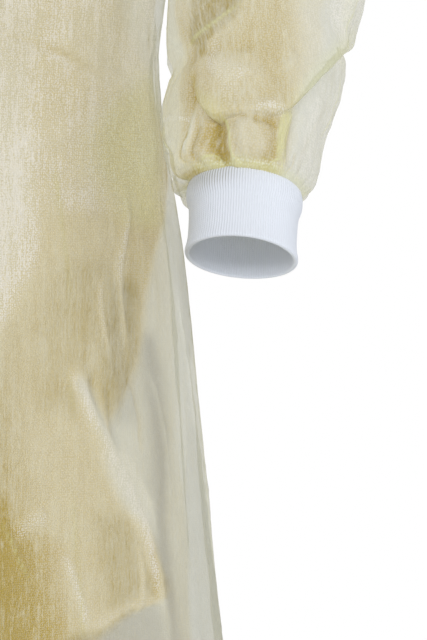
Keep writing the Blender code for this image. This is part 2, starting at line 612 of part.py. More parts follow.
def make_object(name, points, faces, material):
    mesh = bpy.data.meshes.new(name)
    mesh.from_pydata(points.tolist(), [], faces)
    mesh.shade_smooth()
    mesh.set_sharp_from_angle(angle=math.radians(SHARP_FROM))
    mesh.materials.append(material)
    piece = bpy.data.objects.new(name, mesh)
    bpy.context.scene.collection.objects.link(piece)
    return piece


def make_material(name, colour, roughness):
    material = bpy.data.materials.new(name)
    material.use_nodes = True
    shader = material.node_tree.nodes["Principled BSDF"]
    shader.inputs["Base Color"].default_value = colour
    shader.inputs["Roughness"].default_value = roughness
    shader.inputs["Metallic"].default_value = 0.0
    return material


# ---------------------------------------------------------------- the pieces
def panel_sheets():
    """The front and the two back panels, and the rows that their neighbours are made from."""
    columns = front_columns()
    front, front_folded = body_rows("front", columns)
    sheets = [sheet("front_panel", WALL, front, trimmed(front_folded, last=True, start=True, end=True),
                    outward=-1)]
    backs, back_panels = {}, {}
    for side, name in ((1, "back_panel_left"), (-1, "back_panel_right")):
        columns = back_columns(side)
        plain, folded = body_rows("back", columns)
        backs[side] = plain
        back_panels[side] = (folded, columns)
        sheets.append(sheet(name, WALL, plain, trimmed(folded, last=True, start=True),
                            shift=lap_shift(side, columns), outward=-side))
    return sheets, front, backs, back_panels


def sleeve_sheet(name, side, armhole, folds, lip):
    """A sleeve, worked out for the left arm and mirrored for the right one. Its wall's inside
    follows the gathers by half, so that the wall never crosses itself."""
    plain, outside, inside = [], [], []
    for row in SLEEVE_ROWS:
        angle = np.arange(ARMHOLE_POINTS * row.split) * 360.0 / (ARMHOLE_POINTS * row.split)
        gathers = gather_relief(angle, row.along)
        relief = sleeve_folds(folds, angle, row.along)
        relief += lip_relief(lip, angle, np.full_like(angle, row.along))
        for rows, moved in ((plain, 0.0), (outside, relief + gathers), (inside, relief + 0.5 * gathers)):
            rows.append(on_side(side, sleeve_line(armhole, row.along, angle, moved)))
    outside = trimmed(outside, first=True, last=True)
    inside = trimmed(inside, first=True, last=True)
    return sheet(name, WALL, plain, outside, inside, closed=True, outward=-side)


def cuff_sheet(name, side):
    """A cuff: rings below the sleeve's last one, on the forearm's line."""
    angle = np.arange(ARMHOLE_POINTS * CUFF_SPLIT) * 360.0 / (ARMHOLE_POINTS * CUFF_SPLIT)
    seam = sleeve_ring(0.0, angle)
    down = unit(ARM_CUFF - ARM_ELBOW)
    rows = [on_side(side, ARM_CUFF + (seam - ARM_CUFF) * ring.share + down * ring.below)
            for ring in CUFF_RINGS]
    return sheet(name, KNIT_WALL, rows, trimmed(rows, first=True), closed=True, outward=-side)


def neck_binding_sheet(front, backs):
    """The binding stands on the neckline and leans towards the neck."""
    neck = SIDE_COLUMNS[1] - 1
    left = backs[1][-1][neck:][::-1]
    middle = front[-1][::-1][neck:neck + FRONT_NECK_COLUMNS][1:-1]
    right = backs[-1][-1][SIDE_COLUMNS[-1] - 1:]
    base = np.concatenate([left, middle, right])
    inward = unit(base * np.array([-1.0, -1.0, 0.0]))
    up = unit(inward * BINDING_LEAN + np.array([0.0, 0.0, 1.0]))
    rows = [base + up * height for height in (0.5 * SEAM_GAP, 0.5 * BINDING_HEIGHT, BINDING_HEIGHT)]
    return sheet("neck_binding", BINDING_WALL, rows, rows, outward=1)


def on_panel(panel, u, row_share):
    """A point on a panel's own flat facets: u across, and row_share counted in rows from the hem."""
    rows, columns = panel
    below = int(min(math.floor(row_share), len(rows) - 2))
    share = row_share - below
    ends = []
    for row, at in ((rows[k], columns[k]) for k in (below, below + 1)):
        order = np.argsort(at)
        ends.append(np.stack([np.interp(u, at[order], row[order, k]) for k in range(3)], axis=1))
    return ends[0] * (1 - share) + ends[1] * share


def height_share(height):
    return float(np.interp(height, LOWER_ROWS, np.arange(len(LOWER_ROWS))))


def waist_tie_sheet(name, side, panels):
    """A waist tie from the side seam to the knot: the back's own points, moved out. It lies on its
    own panel, then on the over one."""
    half_width = smooth(BODY_SECTIONS, "height", "half_width", WAIST_TIE_HEIGHT)
    end = math.asin((0.5 * WAIST_KNOT[0] + SEAM_GAP) / half_width) / (0.5 * math.pi)
    u = side * np.concatenate([np.linspace(1.0, NECK_SHARE, SIDE_COLUMNS[side]),
                               np.linspace(NECK_SHARE, end, 5)[1:]])
    rows = []
    for share in (-0.5, 0.5):
        row = height_share(WAIST_TIE_HEIGHT + share * WAIST_TIE_WIDTH)
        on_own, on_over = (on_panel(panels[k], u, row) for k in (side, -UNDER_SIDE))
        rows.append(np.where((np.abs(u) < LAP_FROM)[:, None], on_over, on_own))
    shift = [np.full(len(u), TIE_CLEAR + TIE_WALL)] * 2
    return sheet(name, TIE_WALL, rows, trimmed(rows, start=True), shift=shift, outward=-side)


def waist_end_sheet(name, side, panels):
    """The hanging end of a waist tie: narrow at the knot, and lying down the over panel."""
    start = WAIST_TIE_HEIGHT - 0.5 * WAIST_KNOT[2] - SEAM_GAP
    rows, shift = [], []
    for below in np.linspace(0.0, WAIST_TAIL_LENGTH, TAIL_ROWS):
        height = start - below
        half_width = smooth(BODY_SECTIONS, "height", "half_width", height)
        open_share = ease(0.0, TAIL_OPENS, below)
        half = 0.25 * WAIST_TIE_WIDTH * (1.0 + open_share)
        middle = side * (TAIL_OFF_MIDDLE + TAIL_SPREAD * open_share + TAIL_LEAN * below)
        x = middle + half * np.linspace(-1.0, 1.0, 3)
        u = np.arcsin(x / half_width) / (0.5 * math.pi)
        rows.append(on_panel(panels[-UNDER_SIDE], u, height_share(height)))
        shift.append(np.full(3, TIE_CLEAR + TIE_WALL)
                     + TAIL_WAVE * (1 - math.cos(TAIL_WAVE_TURN * below)))
    return sheet(name, TIE_WALL, rows, rows, shift=shift, outward=-1)


def neck_end_sheet(name, side, panels):
    """The hanging end of a neck tie, lying on the back below the knot."""
    rows, shift = [], []
    half = 0.5 * NECK_TIE_WIDTH / NECK_END_HALF_PANEL
    for share in np.linspace(NECK_END_TOP, NECK_END_BOTTOM, NECK_END_ROWS):
        middle = side * (NECK_END_OFF + NECK_END_LEAN * (NECK_END_TOP - share))
        u = middle + half * np.linspace(-1.0, 1.0, 3)
        row = len(LOWER_ROWS) - 1 + share * len(UPPER_ROWS)
        lies_on = side if share > 0.5 else -UNDER_SIDE
        rows.append(on_panel(panels[lies_on], u, row))
        shift.append(np.full(3, TIE_CLEAR + TIE_WALL))
    return sheet(name, TIE_WALL, rows, rows, shift=shift, outward=-1)


def make_knot(name, centre, size, material):
    """A knot pulled flat: a box with well rounded edges."""
    mesh = bpy.data.meshes.new(name)
    form = bmesh.new()
    bmesh.ops.create_cube(form, size=1.0)
    bmesh.ops.scale(form, vec=size, verts=form.verts)
    bmesh.ops.bevel(form, geom=form.edges[:], offset=KNOT_ROUND * min(size), segments=2, affect="EDGES",
                    profile=0.5)
    form.to_mesh(mesh)
    form.free()
    mesh.shade_smooth()
    mesh.materials.append(material)
    knot = bpy.data.objects.new(name, mesh)
    knot.location = centre
    bpy.context.scene.collection.objects.link(knot)
    return knot


def main():
    for old in list(bpy.data.objects):
        bpy.data.objects.remove(old, do_unlink=True)
    cloth = make_material("nonwoven cloth", CLOTH_COLOUR, CLOTH_ROUGHNESS)
    binding = make_material("nonwoven binding", BINDING_COLOUR, CLOTH_ROUGHNESS)
    knit = make_material("white rib knit", KNIT_COLOUR, KNIT_ROUGHNESS)

    panels, front, backs, back_panels = panel_sheets()
    armhole = armhole_loop(front, backs[1])
    body = panels + [
        sleeve_sheet("sleeve_left", 1, armhole, LEFT_SLEEVE_FOLDS, LEFT_SLEEVE_LIP),
        sleeve_sheet("sleeve_right", -1, armhole, RIGHT_SLEEVE_FOLDS, RIGHT_SLEEVE_LIP),
    ]
    for piece, normals in zip(body, shared_normals(body)):
        make_wall(piece, normals, cloth)
    for name, side in (("cuff_left", 1), ("cuff_right", -1)):
        cuff = cuff_sheet(name, side)
        make_wall(cuff, shared_normals([cuff])[0], knit)
    trims = [neck_binding_sheet(front, backs)]
    for suffix, side in (("left", 1), ("right", -1)):
        trims += [waist_tie_sheet("waist_tie_" + suffix, side, back_panels),
                  waist_end_sheet("waist_end_" + suffix, side, back_panels),
                  neck_end_sheet("neck_end_" + suffix, side, back_panels)]
    for piece in trims:
        make_wall(piece, shared_normals([piece])[0], binding)

    waist_out = (smooth(BODY_SECTIONS, "height", "back", WAIST_TIE_HEIGHT)
                 + fold_relief(np.array([180.0]), WAIST_TIE_HEIGHT)[0])
    make_knot("waist_knot", (0.0, waist_out + 0.5 * WAIST_KNOT[1] + WAIST_KNOT_CLEAR, WAIST_TIE_HEIGHT),
              WAIST_KNOT, binding)
    make_knot("neck_knot", (0.0, NECK_BACK[1] - KNOT_SINK, NECK_BACK[2] + 0.5 * BINDING_HEIGHT),
              NECK_KNOT, binding)


main()
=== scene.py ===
"""Visitor gown: the looks of a thin yellow nonwoven gown with white knitted cuffs, worn and hollow.

Metres, +Z up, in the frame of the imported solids: the origin is in the middle of the neck, on the
shoulder line, +X is the wearer's left and -Y the front. Every piece of cloth is a surface worked out
on a grid from the tables below, on the form of the solid that it stands for.
"""

import math
from collections import namedtuple

import bpy
import numpy as np
from bpy.props import FloatProperty, FloatVectorProperty, IntProperty, PointerProperty
from bpy.types import Operator, Panel, PropertyGroup
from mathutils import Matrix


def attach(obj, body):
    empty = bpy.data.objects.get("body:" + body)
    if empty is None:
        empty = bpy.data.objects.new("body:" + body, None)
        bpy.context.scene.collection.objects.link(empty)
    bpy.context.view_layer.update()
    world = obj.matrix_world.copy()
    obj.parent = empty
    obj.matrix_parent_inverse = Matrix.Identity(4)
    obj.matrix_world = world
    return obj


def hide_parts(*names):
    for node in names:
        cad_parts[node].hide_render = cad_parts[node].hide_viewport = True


bl_info = {
    "name": "Visitor Gown",
    "version": (1, 0, 0),
    "blender": (4, 5, 0),
    "location": "View3D > Sidebar > Gown",
    "description": "Makes a thin nonwoven gown with knitted cuffs on its packed solids",
    "category": "Add Mesh",
}

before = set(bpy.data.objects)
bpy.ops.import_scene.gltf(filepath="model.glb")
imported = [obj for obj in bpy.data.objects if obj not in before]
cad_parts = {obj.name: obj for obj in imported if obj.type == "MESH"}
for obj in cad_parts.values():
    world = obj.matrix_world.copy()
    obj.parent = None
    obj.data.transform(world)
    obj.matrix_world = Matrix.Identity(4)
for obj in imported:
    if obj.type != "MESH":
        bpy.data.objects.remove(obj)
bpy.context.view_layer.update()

# ---------------------------------------------------------------- the gown's own sizes
GOWN_LENGTH = 1.16
UNDERARM = -0.225
CHEST = 0.22               # how much higher a point counts, in lines and zones, for each row above it
NECK_POINT = np.array([0.076, 0.012, 0.0])         # shoulder seam and neckline meet
SHOULDER_POINT = np.array([0.190, 0.006, -0.046])  # shoulder seam and armhole meet
NECK_SHARE = 0.36          # share of a panel's half width that ends on the neckline
NECK_FRONT = np.array([0.0, -0.070, -0.082])
NECK_BACK = np.array([0.0, 0.060, -0.014])
NECK_DIP_POWER = 1.35
BINDING_HEIGHT, BINDING_WALL = 0.012, 0.0022
BINDING_LEAN = 0.60        # towards the neck, for each unit up
STITCHES_AT = 0.0024       # above the binding's lower edge
LAP_DEPTH = 0.0045         # how far the under back panel lies inside the over one
LAP_FROM, LAP_TO = 0.28, 0.56
LAP_FADES_FROM = 0.86
UNDER_SIDE = 1             # the wearer's left back panel lies under the right one
# Slopes with which the upper body's curves leave the underarm ring and arrive at the top edge.
LEAVE_CENTRE, LEAVE_EDGE = (0.0, 0.015, 0.20), (-0.050, 0.31, 0.015)
ARRIVE_NECK, ARRIVE_SHOULDER = (0.0, -0.055, 0.09), (0.01, -0.23, 0.075)
ARRIVE_EDGE = (0.09, -0.29, 0.11)
EDGE_FROM = 0.55
SHOULDER_FROM, SHOULDER_TO = 0.5 * NECK_SHARE, 1.2 * NECK_SHARE

# The body's level rings: height, half width, and depth before and behind the wearer's middle.
BODY_SECTIONS = (
    (-1.160, 0.2640, 0.194, 0.188),
    (-0.980, 0.2495, 0.180, 0.174),
    (-0.835, 0.2365, 0.167, 0.162),
    (-0.715, 0.2245, 0.156, 0.151),
    (-0.640, 0.2165, 0.148, 0.142),
    (-0.590, 0.2085, 0.142, 0.136),
    (-0.545, 0.2040, 0.137, 0.130),
    (-0.500, 0.2085, 0.132, 0.124),
    (-0.425, 0.1980, 0.126, 0.110),
    (-0.330, 0.1850, 0.126, 0.110),
    (-0.225, 0.1690, 0.122, 0.112),
)
HALF_WIDTH, FRONT_DEPTH, BACK_DEPTH = 1, 2, 3      # columns of BODY_SECTIONS
# Height, and how far each back panel runs past the centre back there.
LAP_SECTIONS = ((-1.160, 0.085), (-0.425, 0.075), (-0.225, 0.040), (-0.080, 0.006), (-0.014, -0.0086))


# ---------------------------------------------------------------- folds, lines and zones
# Sizes in their tables are in millimetres, and angles in degrees.
def folds(kind, *rows):
    """Folds from rows of angle, lean, width, depth and both ends."""
    return tuple(kind(*np.divide(row, (1, 1, 1, 1000, 1000, 1000))) for row in rows)


def lines(*rows):
    """Lines from rows of kind, width, depth, colour, strength, and the points as degrees, height,
    degrees, height and so on."""
    return tuple(Line(kind, width / 1000, depth / 1000, colour, strength,
                      np.reshape(points, (-1, 2)) / (1, 1000))
                 for kind, width, depth, colour, strength, *points in rows)


def zones(*rows):
    """Zones from rows of colour, strength, soft, and then height, from and to for each height."""
    return tuple(Zone(colour, strength, soft, np.reshape(at, (-1, 3)) / (1000, 1, 1))
                 for colour, strength, soft, *at in rows)


# Drape folds of the body. The angle goes from centre front towards the wearer's left; a fold leans by
# so many degrees for each metre down, and is a ridge, or a trough if its depth is negative.
Fold = namedtuple("Fold", "angle lean width depth top bottom")
FOLD_FADE_TOP, FOLD_FADE_BOTTOM = 0.45, 0.40
BODY_FOLDS = folds(
    Fold,
    (72, 6, 6, 5, -450, -660),
    (60, 34, 5, 5, -640, -1160),
    (76, 12, 4, 5, -660, -1160),
    (85, 3, 3.5, -4.5, -600, -1160),
    (48, 16, 6, 6, -740, -1160),
    (66, 8, 3.5, -5, -680, -1000),
    (27, 8, 9, 11, -560, -1160),
    (9, 3, 7, -9, -620, -1160),
    (-9, -4, 9, 12, -500, -1160),
    (-29, -6, 8, -9, -600, -1160),
    (-46, -9, 9, 11, -540, -1160),
    (-64, -8, 7, -7, -560, -1160),
    (-78, -6, 7, 8, -500, -1160),
    (-60, -60, 8, 6, -225, -520),
    (58, 50, 8, 6, -225, -480),
    (103, 2, 6, -6, -480, -1160),
    (112, 4, 6, 8, -330, -900),
    (129, -4, 7, 9, -350, -1160),
    (145, 2, 8, 9, -340, -1160),
    (172, 2, 12, -6, -480, -1160),
    (-101, -2, 6, -6, -480, -1160),
    (-113, -4, 6, 8, -340, -1000),
    (-131, 4, 7, 9, -350, -1160),
    (-147, -2, 8, 9, -330, -1160)
)

# Finer lines of the cloth, through points at degrees round and a height or distance along. A line is
# SOFT, a bell across; a CREASE, where two slopes meet in a sharp line; or FLAT, a band with steep sides.
# Negative depths are troughs. A line takes on one of five colours, by its strength: that of DOUBLE cloth,
# the gold of a fold's depth, partly painted shade; FREE as where the cloth hangs away from what is under
# it;
# a painted sheen, a painted highlight on smooth cloth; or painted shade, a darkening painted where shade
# falls.
Line = namedtuple("Line", "kind width depth colour strength points")
SOFT, CREASE, FLAT = "soft", "crease", "flat"
DOUBLE, GOLD_AND_SHADE, FREE, PAINTED_SHEEN, PAINTED_SHADE = "double", "gold_and_shade", "free", "painted_sheen", "shade"
# A zone takes on a colour between two angles at each height or distance along, over so many soft degrees.
Zone = namedtuple("Zone", "colour strength soft rows")
ZONE_FADE = 0.012          # past its first and last row
CREASE_MARK = 0.0006       # half the width of the mark that a sharp fold leaves in the cloth
BODY_LINES = lines(
    # a drag line at the hip in painted shade, with a painted highlight on its lower edge, and a fainter one
    # below
    (SOFT, 2.4, -1.4, PAINTED_SHADE, 0.5, 36, -537, 39.6, -538.5, 44.1, -541.5, 48.2, -544.5, 53.1, -549, 57.6,
     -554.5, 61.7, -560),
    (SOFT, 2, 1.2, PAINTED_SHEEN, 1, 36, -541.5, 42, -545, 47, -548.5, 54, -555),
    (SOFT, 3, -0.9, PAINTED_SHADE, 0.16, 44, -536, 49, -538, 53, -543),
    (SOFT, 4, 1, PAINTED_SHEEN, 0.22, 41, -596, 45, -592, 49.5, -588, 54, -584),
    # long streaks beside the sleeve: painted highlights, and golden troughs partly in painted shade
    (SOFT, 6, 1.8, PAINTED_SHEEN, 1, 68, -505, 69.8, -520, 73.8, -532, 78.3, -548, 80, -566, 80, -590),
    (SOFT, 2, -1, GOLD_AND_SHADE, 0.45, 74, -512, 77.4, -532, 80.1, -544, 82.8, -556, 82.5, -580, 81, -600),
    (SOFT, 4.5, 1, GOLD_AND_SHADE, 0.34, 81, -560, 79.4, -576, 78, -590, 77, -604, 74, -620),
    (SOFT, 2.6, 1.6, PAINTED_SHEEN, 0.45, 63.5, -612, 62.1, -624, 59.9, -640, 58.1, -655, 58.1, -676, 59, -700),
    (SOFT, 2.2, 1, PAINTED_SHEEN, 0.35, 54, -655, 53.6, -668, 54, -682, 54.5, -698),
    # the pale ridge that crosses the side, with a painted highlight, and the hollows beside it in painted
    # shade
    (SOFT, 5.2, 0, FREE, 0.95, 47.6, -704, 49.3, -710, 51, -720, 53, -735, 55.4, -752, 58.4, -770),
    (SOFT, 4.8, 2.6, PAINTED_SHEEN, 0.75, 46.5, -700, 48.6, -709, 50.2, -720, 52.2, -735, 54.6, -752, 57.5, -770,
     59.5, -788, 61, -810, 62, -850),
    (SOFT, 3.2, -1.4, PAINTED_SHADE, 0.55, 50.6, -700, 50.9, -712, 51.6, -722, 52.4, -733),
    (SOFT, 3.4, -1.4, PAINTED_SHADE, 0.45, 53.4, -704, 54, -716, 54.3, -728, 55, -742),
    (CREASE, 3, -1.6, GOLD_AND_SHADE, 0.45, 60.2, -698, 58.5, -708, 56.8, -718, 55, -734),
    (SOFT, 2, -1.6, GOLD_AND_SHADE, 0.6, 59.2, -704, 59.8, -716, 60, -728, 59.4, -744),
    (SOFT, 4, 1.6, PAINTED_SHEEN, 0.4, 55, -740, 57.4, -752, 60, -768, 61.4, -788),
    (SOFT, 2.8, 1.4, PAINTED_SHEEN, 0.35, 63, -700, 65.5, -720, 66.5, -745, 66, -780),
    (CREASE, 2.6, 0.8, GOLD_AND_SHADE, 0.35, 74.3, -706, 73.8, -732, 72, -756, 71.1, -790),
    (SOFT, 3, 1.2, PAINTED_SHEEN, 0.3, 78, -650, 78, -700, 79, -760, 80, -830),
    # folds, and streaks of painted highlight, low on the side
    (CREASE, 1.6, 0.7, DOUBLE, 0.55, 33.5, -772, 34.7, -780, 36, -791, 37.8, -801),
    (SOFT, 4, 1, PAINTED_SHEEN, 0.6, 35.6, -779, 38.7, -773, 41.5, -771),
    (SOFT, 2.4, 1.2, PAINTED_SHEEN, 0.55, 43.6, -789, 44.7, -800, 45.6, -812, 46.2, -826),
    (SOFT, 1.6, 0.8, PAINTED_SHEEN, 0.5, 57, -784, 57.6, -800, 57, -812, 55, -820),
    (SOFT, 3.2, -1.4, GOLD_AND_SHADE, 0.4, 59.9, -786, 60.3, -800, 60, -815),
    (SOFT, 3, 1, PAINTED_SHEEN, 0.3, 46, -828, 50, -820, 56, -814, 63, -812),
    # the rest of the front, and the right side
    (SOFT, 5, 2.2, None, 0, -20, -300, -8, -330, 6, -350, 22, -345),
    (SOFT, 6, -2.4, None, 0, -30, -420, -12, -440, 4, -430, 18, -405),
    (SOFT, 4, 2, None, 0, -70, -480, -58, -520, -44, -545, -30, -552),
    (SOFT, 4, -2.2, None, 0, -64, -560, -50, -580, -38, -588),
    (CREASE, 7.2, 1.6, DOUBLE, 0.8, -84, -600, -82, -680, -80, -780, -80, -900),
    (CREASE, 7.2, -1.8, GOLD_AND_SHADE, 0.8, -70, -700, -69, -790, -66, -880, -66, -980),
    (SOFT, 3.5, 2.2, None, 0, -18, -660, -20, -760, -22, -880, -21, -1020),
    (CREASE, 8.4, 1.9, DOUBLE, 0.8, 17, -760, 19, -860, 18, -960, 20, -1100),
    (SOFT, 3.5, -2.4, None, 0, 38, -860, 39, -940, 42, -1040, 42, -1140),
    (CREASE, 2.9, 1, DOUBLE, 0.8, -40, -930, -30, -945, -18, -940),
    # drag lines from under the arms and from the shoulders
    (SOFT, 4.5, 2.6, FREE, 0.5, 66, -214, 54, -250, 40, -272, 28, -280),
    (SOFT, 4.5, -2.6, GOLD_AND_SHADE, 0.4, 70, -240, 56, -280, 40, -312),
    (SOFT, 5, 2.6, FREE, 0.5, -68, -222, -52, -262, -36, -276),
    (SOFT, 4, -2.4, GOLD_AND_SHADE, 0.4, -64, -250, -48, -296, -30, -318),
    (SOFT, 5, 2.4, FREE, 0.4, 34, -60, 37, -120, 33, -190),
    (SOFT, 4.4, -2.2, GOLD_AND_SHADE, 0.3, -44, -70, -44, -130, -37, -200),
    (CREASE, 6, 1.4, DOUBLE, 0.6, 12, -180, 6, -240, 9, -330, 4, -400),
    (SOFT, 4, -2.4, GOLD_AND_SHADE, 0.4, 52, -380, 40, -420, 26, -436),
    (SOFT, 4, 2.2, FREE, 0.4, -80, -380, -62, -424, -44, -440),
    # the back
    (SOFT, 5, 2.4, FREE, 0.5, 150, -120, 140, -180, 133, -250),
    (SOFT, 5, 2.4, FREE, 0.5, -150, -110, -142, -190, -136, -260),
    (SOFT, 4.4, -2.4, GOLD_AND_SHADE, 0.4, 112, -320, 128, -362, 146, -380),
    (SOFT, 4.4, -2.4, GOLD_AND_SHADE, 0.4, -110, -310, -126, -352, -148, -370),
    (SOFT, 6, 3, None, 0, 96, -500, 108, -560, 118, -640, 122, -760),
    (SOFT, 5, -3, None, 0, -96, -480, -106, -540, -118, -600, -124, -720),
    (CREASE, 9.6, 1.9, DOUBLE, 0.8, 138, -520, 137, -640, 139, -800, 138, -960),
    (CREASE, 9.6, 1.9, DOUBLE, 0.8, -138, -540, -139, -660, -137, -820, -139, -1000),
    (SOFT, 5, 2.2, None, 0, 120, -250, 135, -300, 152, -330),
    (SOFT, 5, 2.2, None, 0, -120, -260, -134, -310, -150, -345),
    (SOFT, 4, -2.4, None, 0, -158, -620, -157, -760, -160, -900, -158, -1080),
    (SOFT, 4, 2.4, None, 0, 160, -600, 158, -740, 159, -900, 157, -1060)
)
BODY_RADIUS = 0.205        # turns a line's degrees into metres across
CLOSE_DEEP = 0.22          # how golden the cloth is where it lies close
SIDE_PAINTED_SHADE = 0.16          # how much painted shade a free side gets
# The sides hang free. They are the same on both sides of the body, but fainter on the right.
BODY_SIDES = zones(
    (FREE, 1, 1.8, -1160, 64, 110, -930, 50, 112, -850, 44, 112, -834, 46.5, 112, -826, 50, 112, -820, 54,
     112, -816, 58, 112, -812.5, 62.5, 112, -809, 64, 112, -800, 62.8, 112, -780, 59.5, 112, -768, 55.4,
     112, -756, 53.2, 113, -742, 52.2, 114, -730, 53.5, 114, -716, 57, 114, -700, 61, 114, -676, 64, 112,
     -660, 66, 112, -640, 70, 110, -616, 76.5, 108, -600, 83, 106, -540, 84, 104, -450, 74, 108, -225, 66,
     112)
)
# Zones of colour on the body: the sheen zones are painted highlights, the shade zones painted shade, and
# the gold zones partly painted shade.
BODY_ZONES = zones(
    (PAINTED_SHEEN, 0.45, 8, -690, 26, 32, -640, 18, 34, -560, 17, 36, -480, 24, 34),
    (PAINTED_SHEEN, 1, 2.4, -705, 33, 33, -690, 31, 34, -660, 28, 40, -640, 27, 42.6, -620, 27, 43.4, -600, 25,
     44.8, -580, 26, 46.4, -552, 26, 46.8, -546, 26, 46),
    (PAINTED_SHEEN, 0.9, 6, -552, 24, 46, -530, 22, 60, -500, 24, 62, -460, 30, 54, -415, 38, 46),
    (FREE, 0.42, 3, -680, 24, 32, -640, 22, 40, -600, 25, 43, -560, 26, 45, -520, 26, 46, -450, 32, 40),
    (PAINTED_SHEEN, 0.42, 6, -618, 42, 66, -590, 44, 74, -560, 44, 80, -500, 52, 78, -440, 62, 70),
    (FREE, 0.28, 6, -556, 56, 70, -540, 50, 74, -500, 54, 74, -440, 60, 72),
    (FREE, 1, 4, -572, 77, 86, -556, 73, 86, -545, 69, 86, -530, 65, 86, -500, 62, 86, -430, 72, 84),
    (DOUBLE, 0.45, 6, -625, 60, 72, -600, 56, 76, -575, 60, 80, -560, 68, 80),
    (GOLD_AND_SHADE, 0.45, 9, -1120, 26, 29, -980, 23, 34, -900, 22, 38, -840, 20, 40),
    (GOLD_AND_SHADE, 0.85, 7, -1020, 30, 31, -940, 26, 36, -870, 22, 41, -830, 22, 42),
    (GOLD_AND_SHADE, 1, 5, -1060, 33, 33, -1000, 31, 35, -930, 28, 38, -870, 23, 42, -836, 20, 43, -822, 20, 42.5,
     -800, 22, 40.5, -785, 22, 40.5, -770, 22, 37.5, -752, 24, 33),
    (GOLD_AND_SHADE, 0.42, 4, -770, 24, 40, -750, 25, 39, -730, 26, 37, -716, 28, 36),
    (PAINTED_SHADE, 0.16, 5, -850, 16, 36, -770, 20, 36, -700, 24, 40, -662, 26, 40),
    (PAINTED_SHADE, 0.16, 4, -716, 40, 50, -700, 40, 56, -670, 42, 58, -656, 46, 56),
    (GOLD_AND_SHADE, 0.42, 3, -612, 78, 91, -600, 78, 92, -585, 79, 92, -572, 82, 92),
    (PAINTED_SHEEN, 0.08, 3, -850, 80, 96, -760, 80, 96, -690, 80, 96),
    (PAINTED_SHADE, 0.66, 2.8, -980, 62, 63, -850, 61, 64, -815, 61, 65.5, -790, 60.5, 65.5, -774, 60.5, 65, -752,
     61, 67, -730, 61.5, 68, -705, 61.5, 68, -690, 62, 67),
    (PAINTED_SHADE, 0.44, 2.6, -722, 54, 60, -706, 53, 61, -690, 53, 62, -664, 56, 62),
    (PAINTED_SHADE, 0.24, 3, -812, 50, 63, -792, 50, 61, -776, 49, 56),
    (PAINTED_SHADE, 0.5, 4, -960, 56, 60, -870, 44, 66, -828, 44, 66, -821, 51, 66),
    (PAINTED_SHADE, 0.22, 4, -900, 72, 80, -850, 68, 84, -780, 71, 86, -735, 75, 86),
    (PAINTED_SHADE, 0.32, 3, -690, 78, 90, -672, 80, 96, -650, 81, 104, -625, 84, 104),
    (GOLD_AND_SHADE, 0.2, 5, -660, 60, 72, -620, 58, 78, -590, 58, 80, -572, 64, 78),
    (GOLD_AND_SHADE, 0.05, 6, -940, 46, 50, -860, 40, 58, -790, 40, 56, -750, 34, 46),
    (PAINTED_SHEEN, 0.36, 7, -740, -30, -24, -680, -40, -22, -600, -46, -24, -520, -54, -30, -450, -58, -40, -400,
     -48, -44),
    (PAINTED_SHEEN, 0.32, 7, -1100, 2, 6, -960, -4, 10, -820, -6, 8, -700, -2, 4),
    (GOLD_AND_SHADE, 0.3, 8, -1060, -44, -40, -960, -50, -32, -860, -46, -26, -780, -38, -28, -730, -34, -30),
    (GOLD_AND_SHADE, 0.4, 6, -400, -16, -8, -330, -24, -2, -250, -20, -10),
    (PAINTED_SHEEN, 0.34, 8, -330, 20, 28, -250, 14, 40, -170, 20, 44, -110, 30, 38),
    (PAINTED_SHEEN, 0.34, 8, -290, -36, -30, -220, -44, -22, -140, -40, -26),
    (PAINTED_SHEEN, 0.34, 8, -330, 140, 148, -240, 132, 156, -150, 138, 158, -90, 144, 150),
    (PAINTED_SHEEN, 0.34, 8, -300, -150, -142, -220, -156, -134, -130, -152, -140),
    (GOLD_AND_SHADE, 0.22, 9, -560, 126, 160, -460, 120, 165, -380, 128, 160),
    (GOLD_AND_SHADE, 0.22, 9, -580, -165, -128, -470, -168, -122, -390, -160, -126),
    (PAINTED_SHEEN, 0.34, 7, -1060, 150, 172, -860, 146, 168, -700, 148, 162),
    (PAINTED_SHEEN, 0.34, 7, -1000, -166, -148, -840, -164, -142, -660, -160, -146)
)
# Short gathers that the waist ties draw in: degrees, on each side, and how deep.
WAIST_GATHERS = ((99, 0.0018), (106, 0.0022), (116, 0.0016), (123, 0.0020), (137, 0.0022), (151, 0.0016))
GATHER_WIDTH, GATHER_HEIGHT = 1.7, 0.075

# The arm's path in the sleeve, for the left arm.
ARM_SHOULDER = np.array([0.1790, 0.000, -0.0850])
ARM_ELBOW = np.array([0.2595, -0.008, -0.3995])
ARM_CUFF = np.array([0.2470, -0.1184, -0.6157])
FOREARM = float(np.linalg.norm(ARM_ELBOW - ARM_CUFF))
ELBOW_ROUND = 0.040
WRIST_TWIST = math.radians(14.0)
TWIST_FROM, TWIST_TO = 0.09, 0.01
FRAME_STEP = 0.018          # half the stretch over which the arm's direction is taken
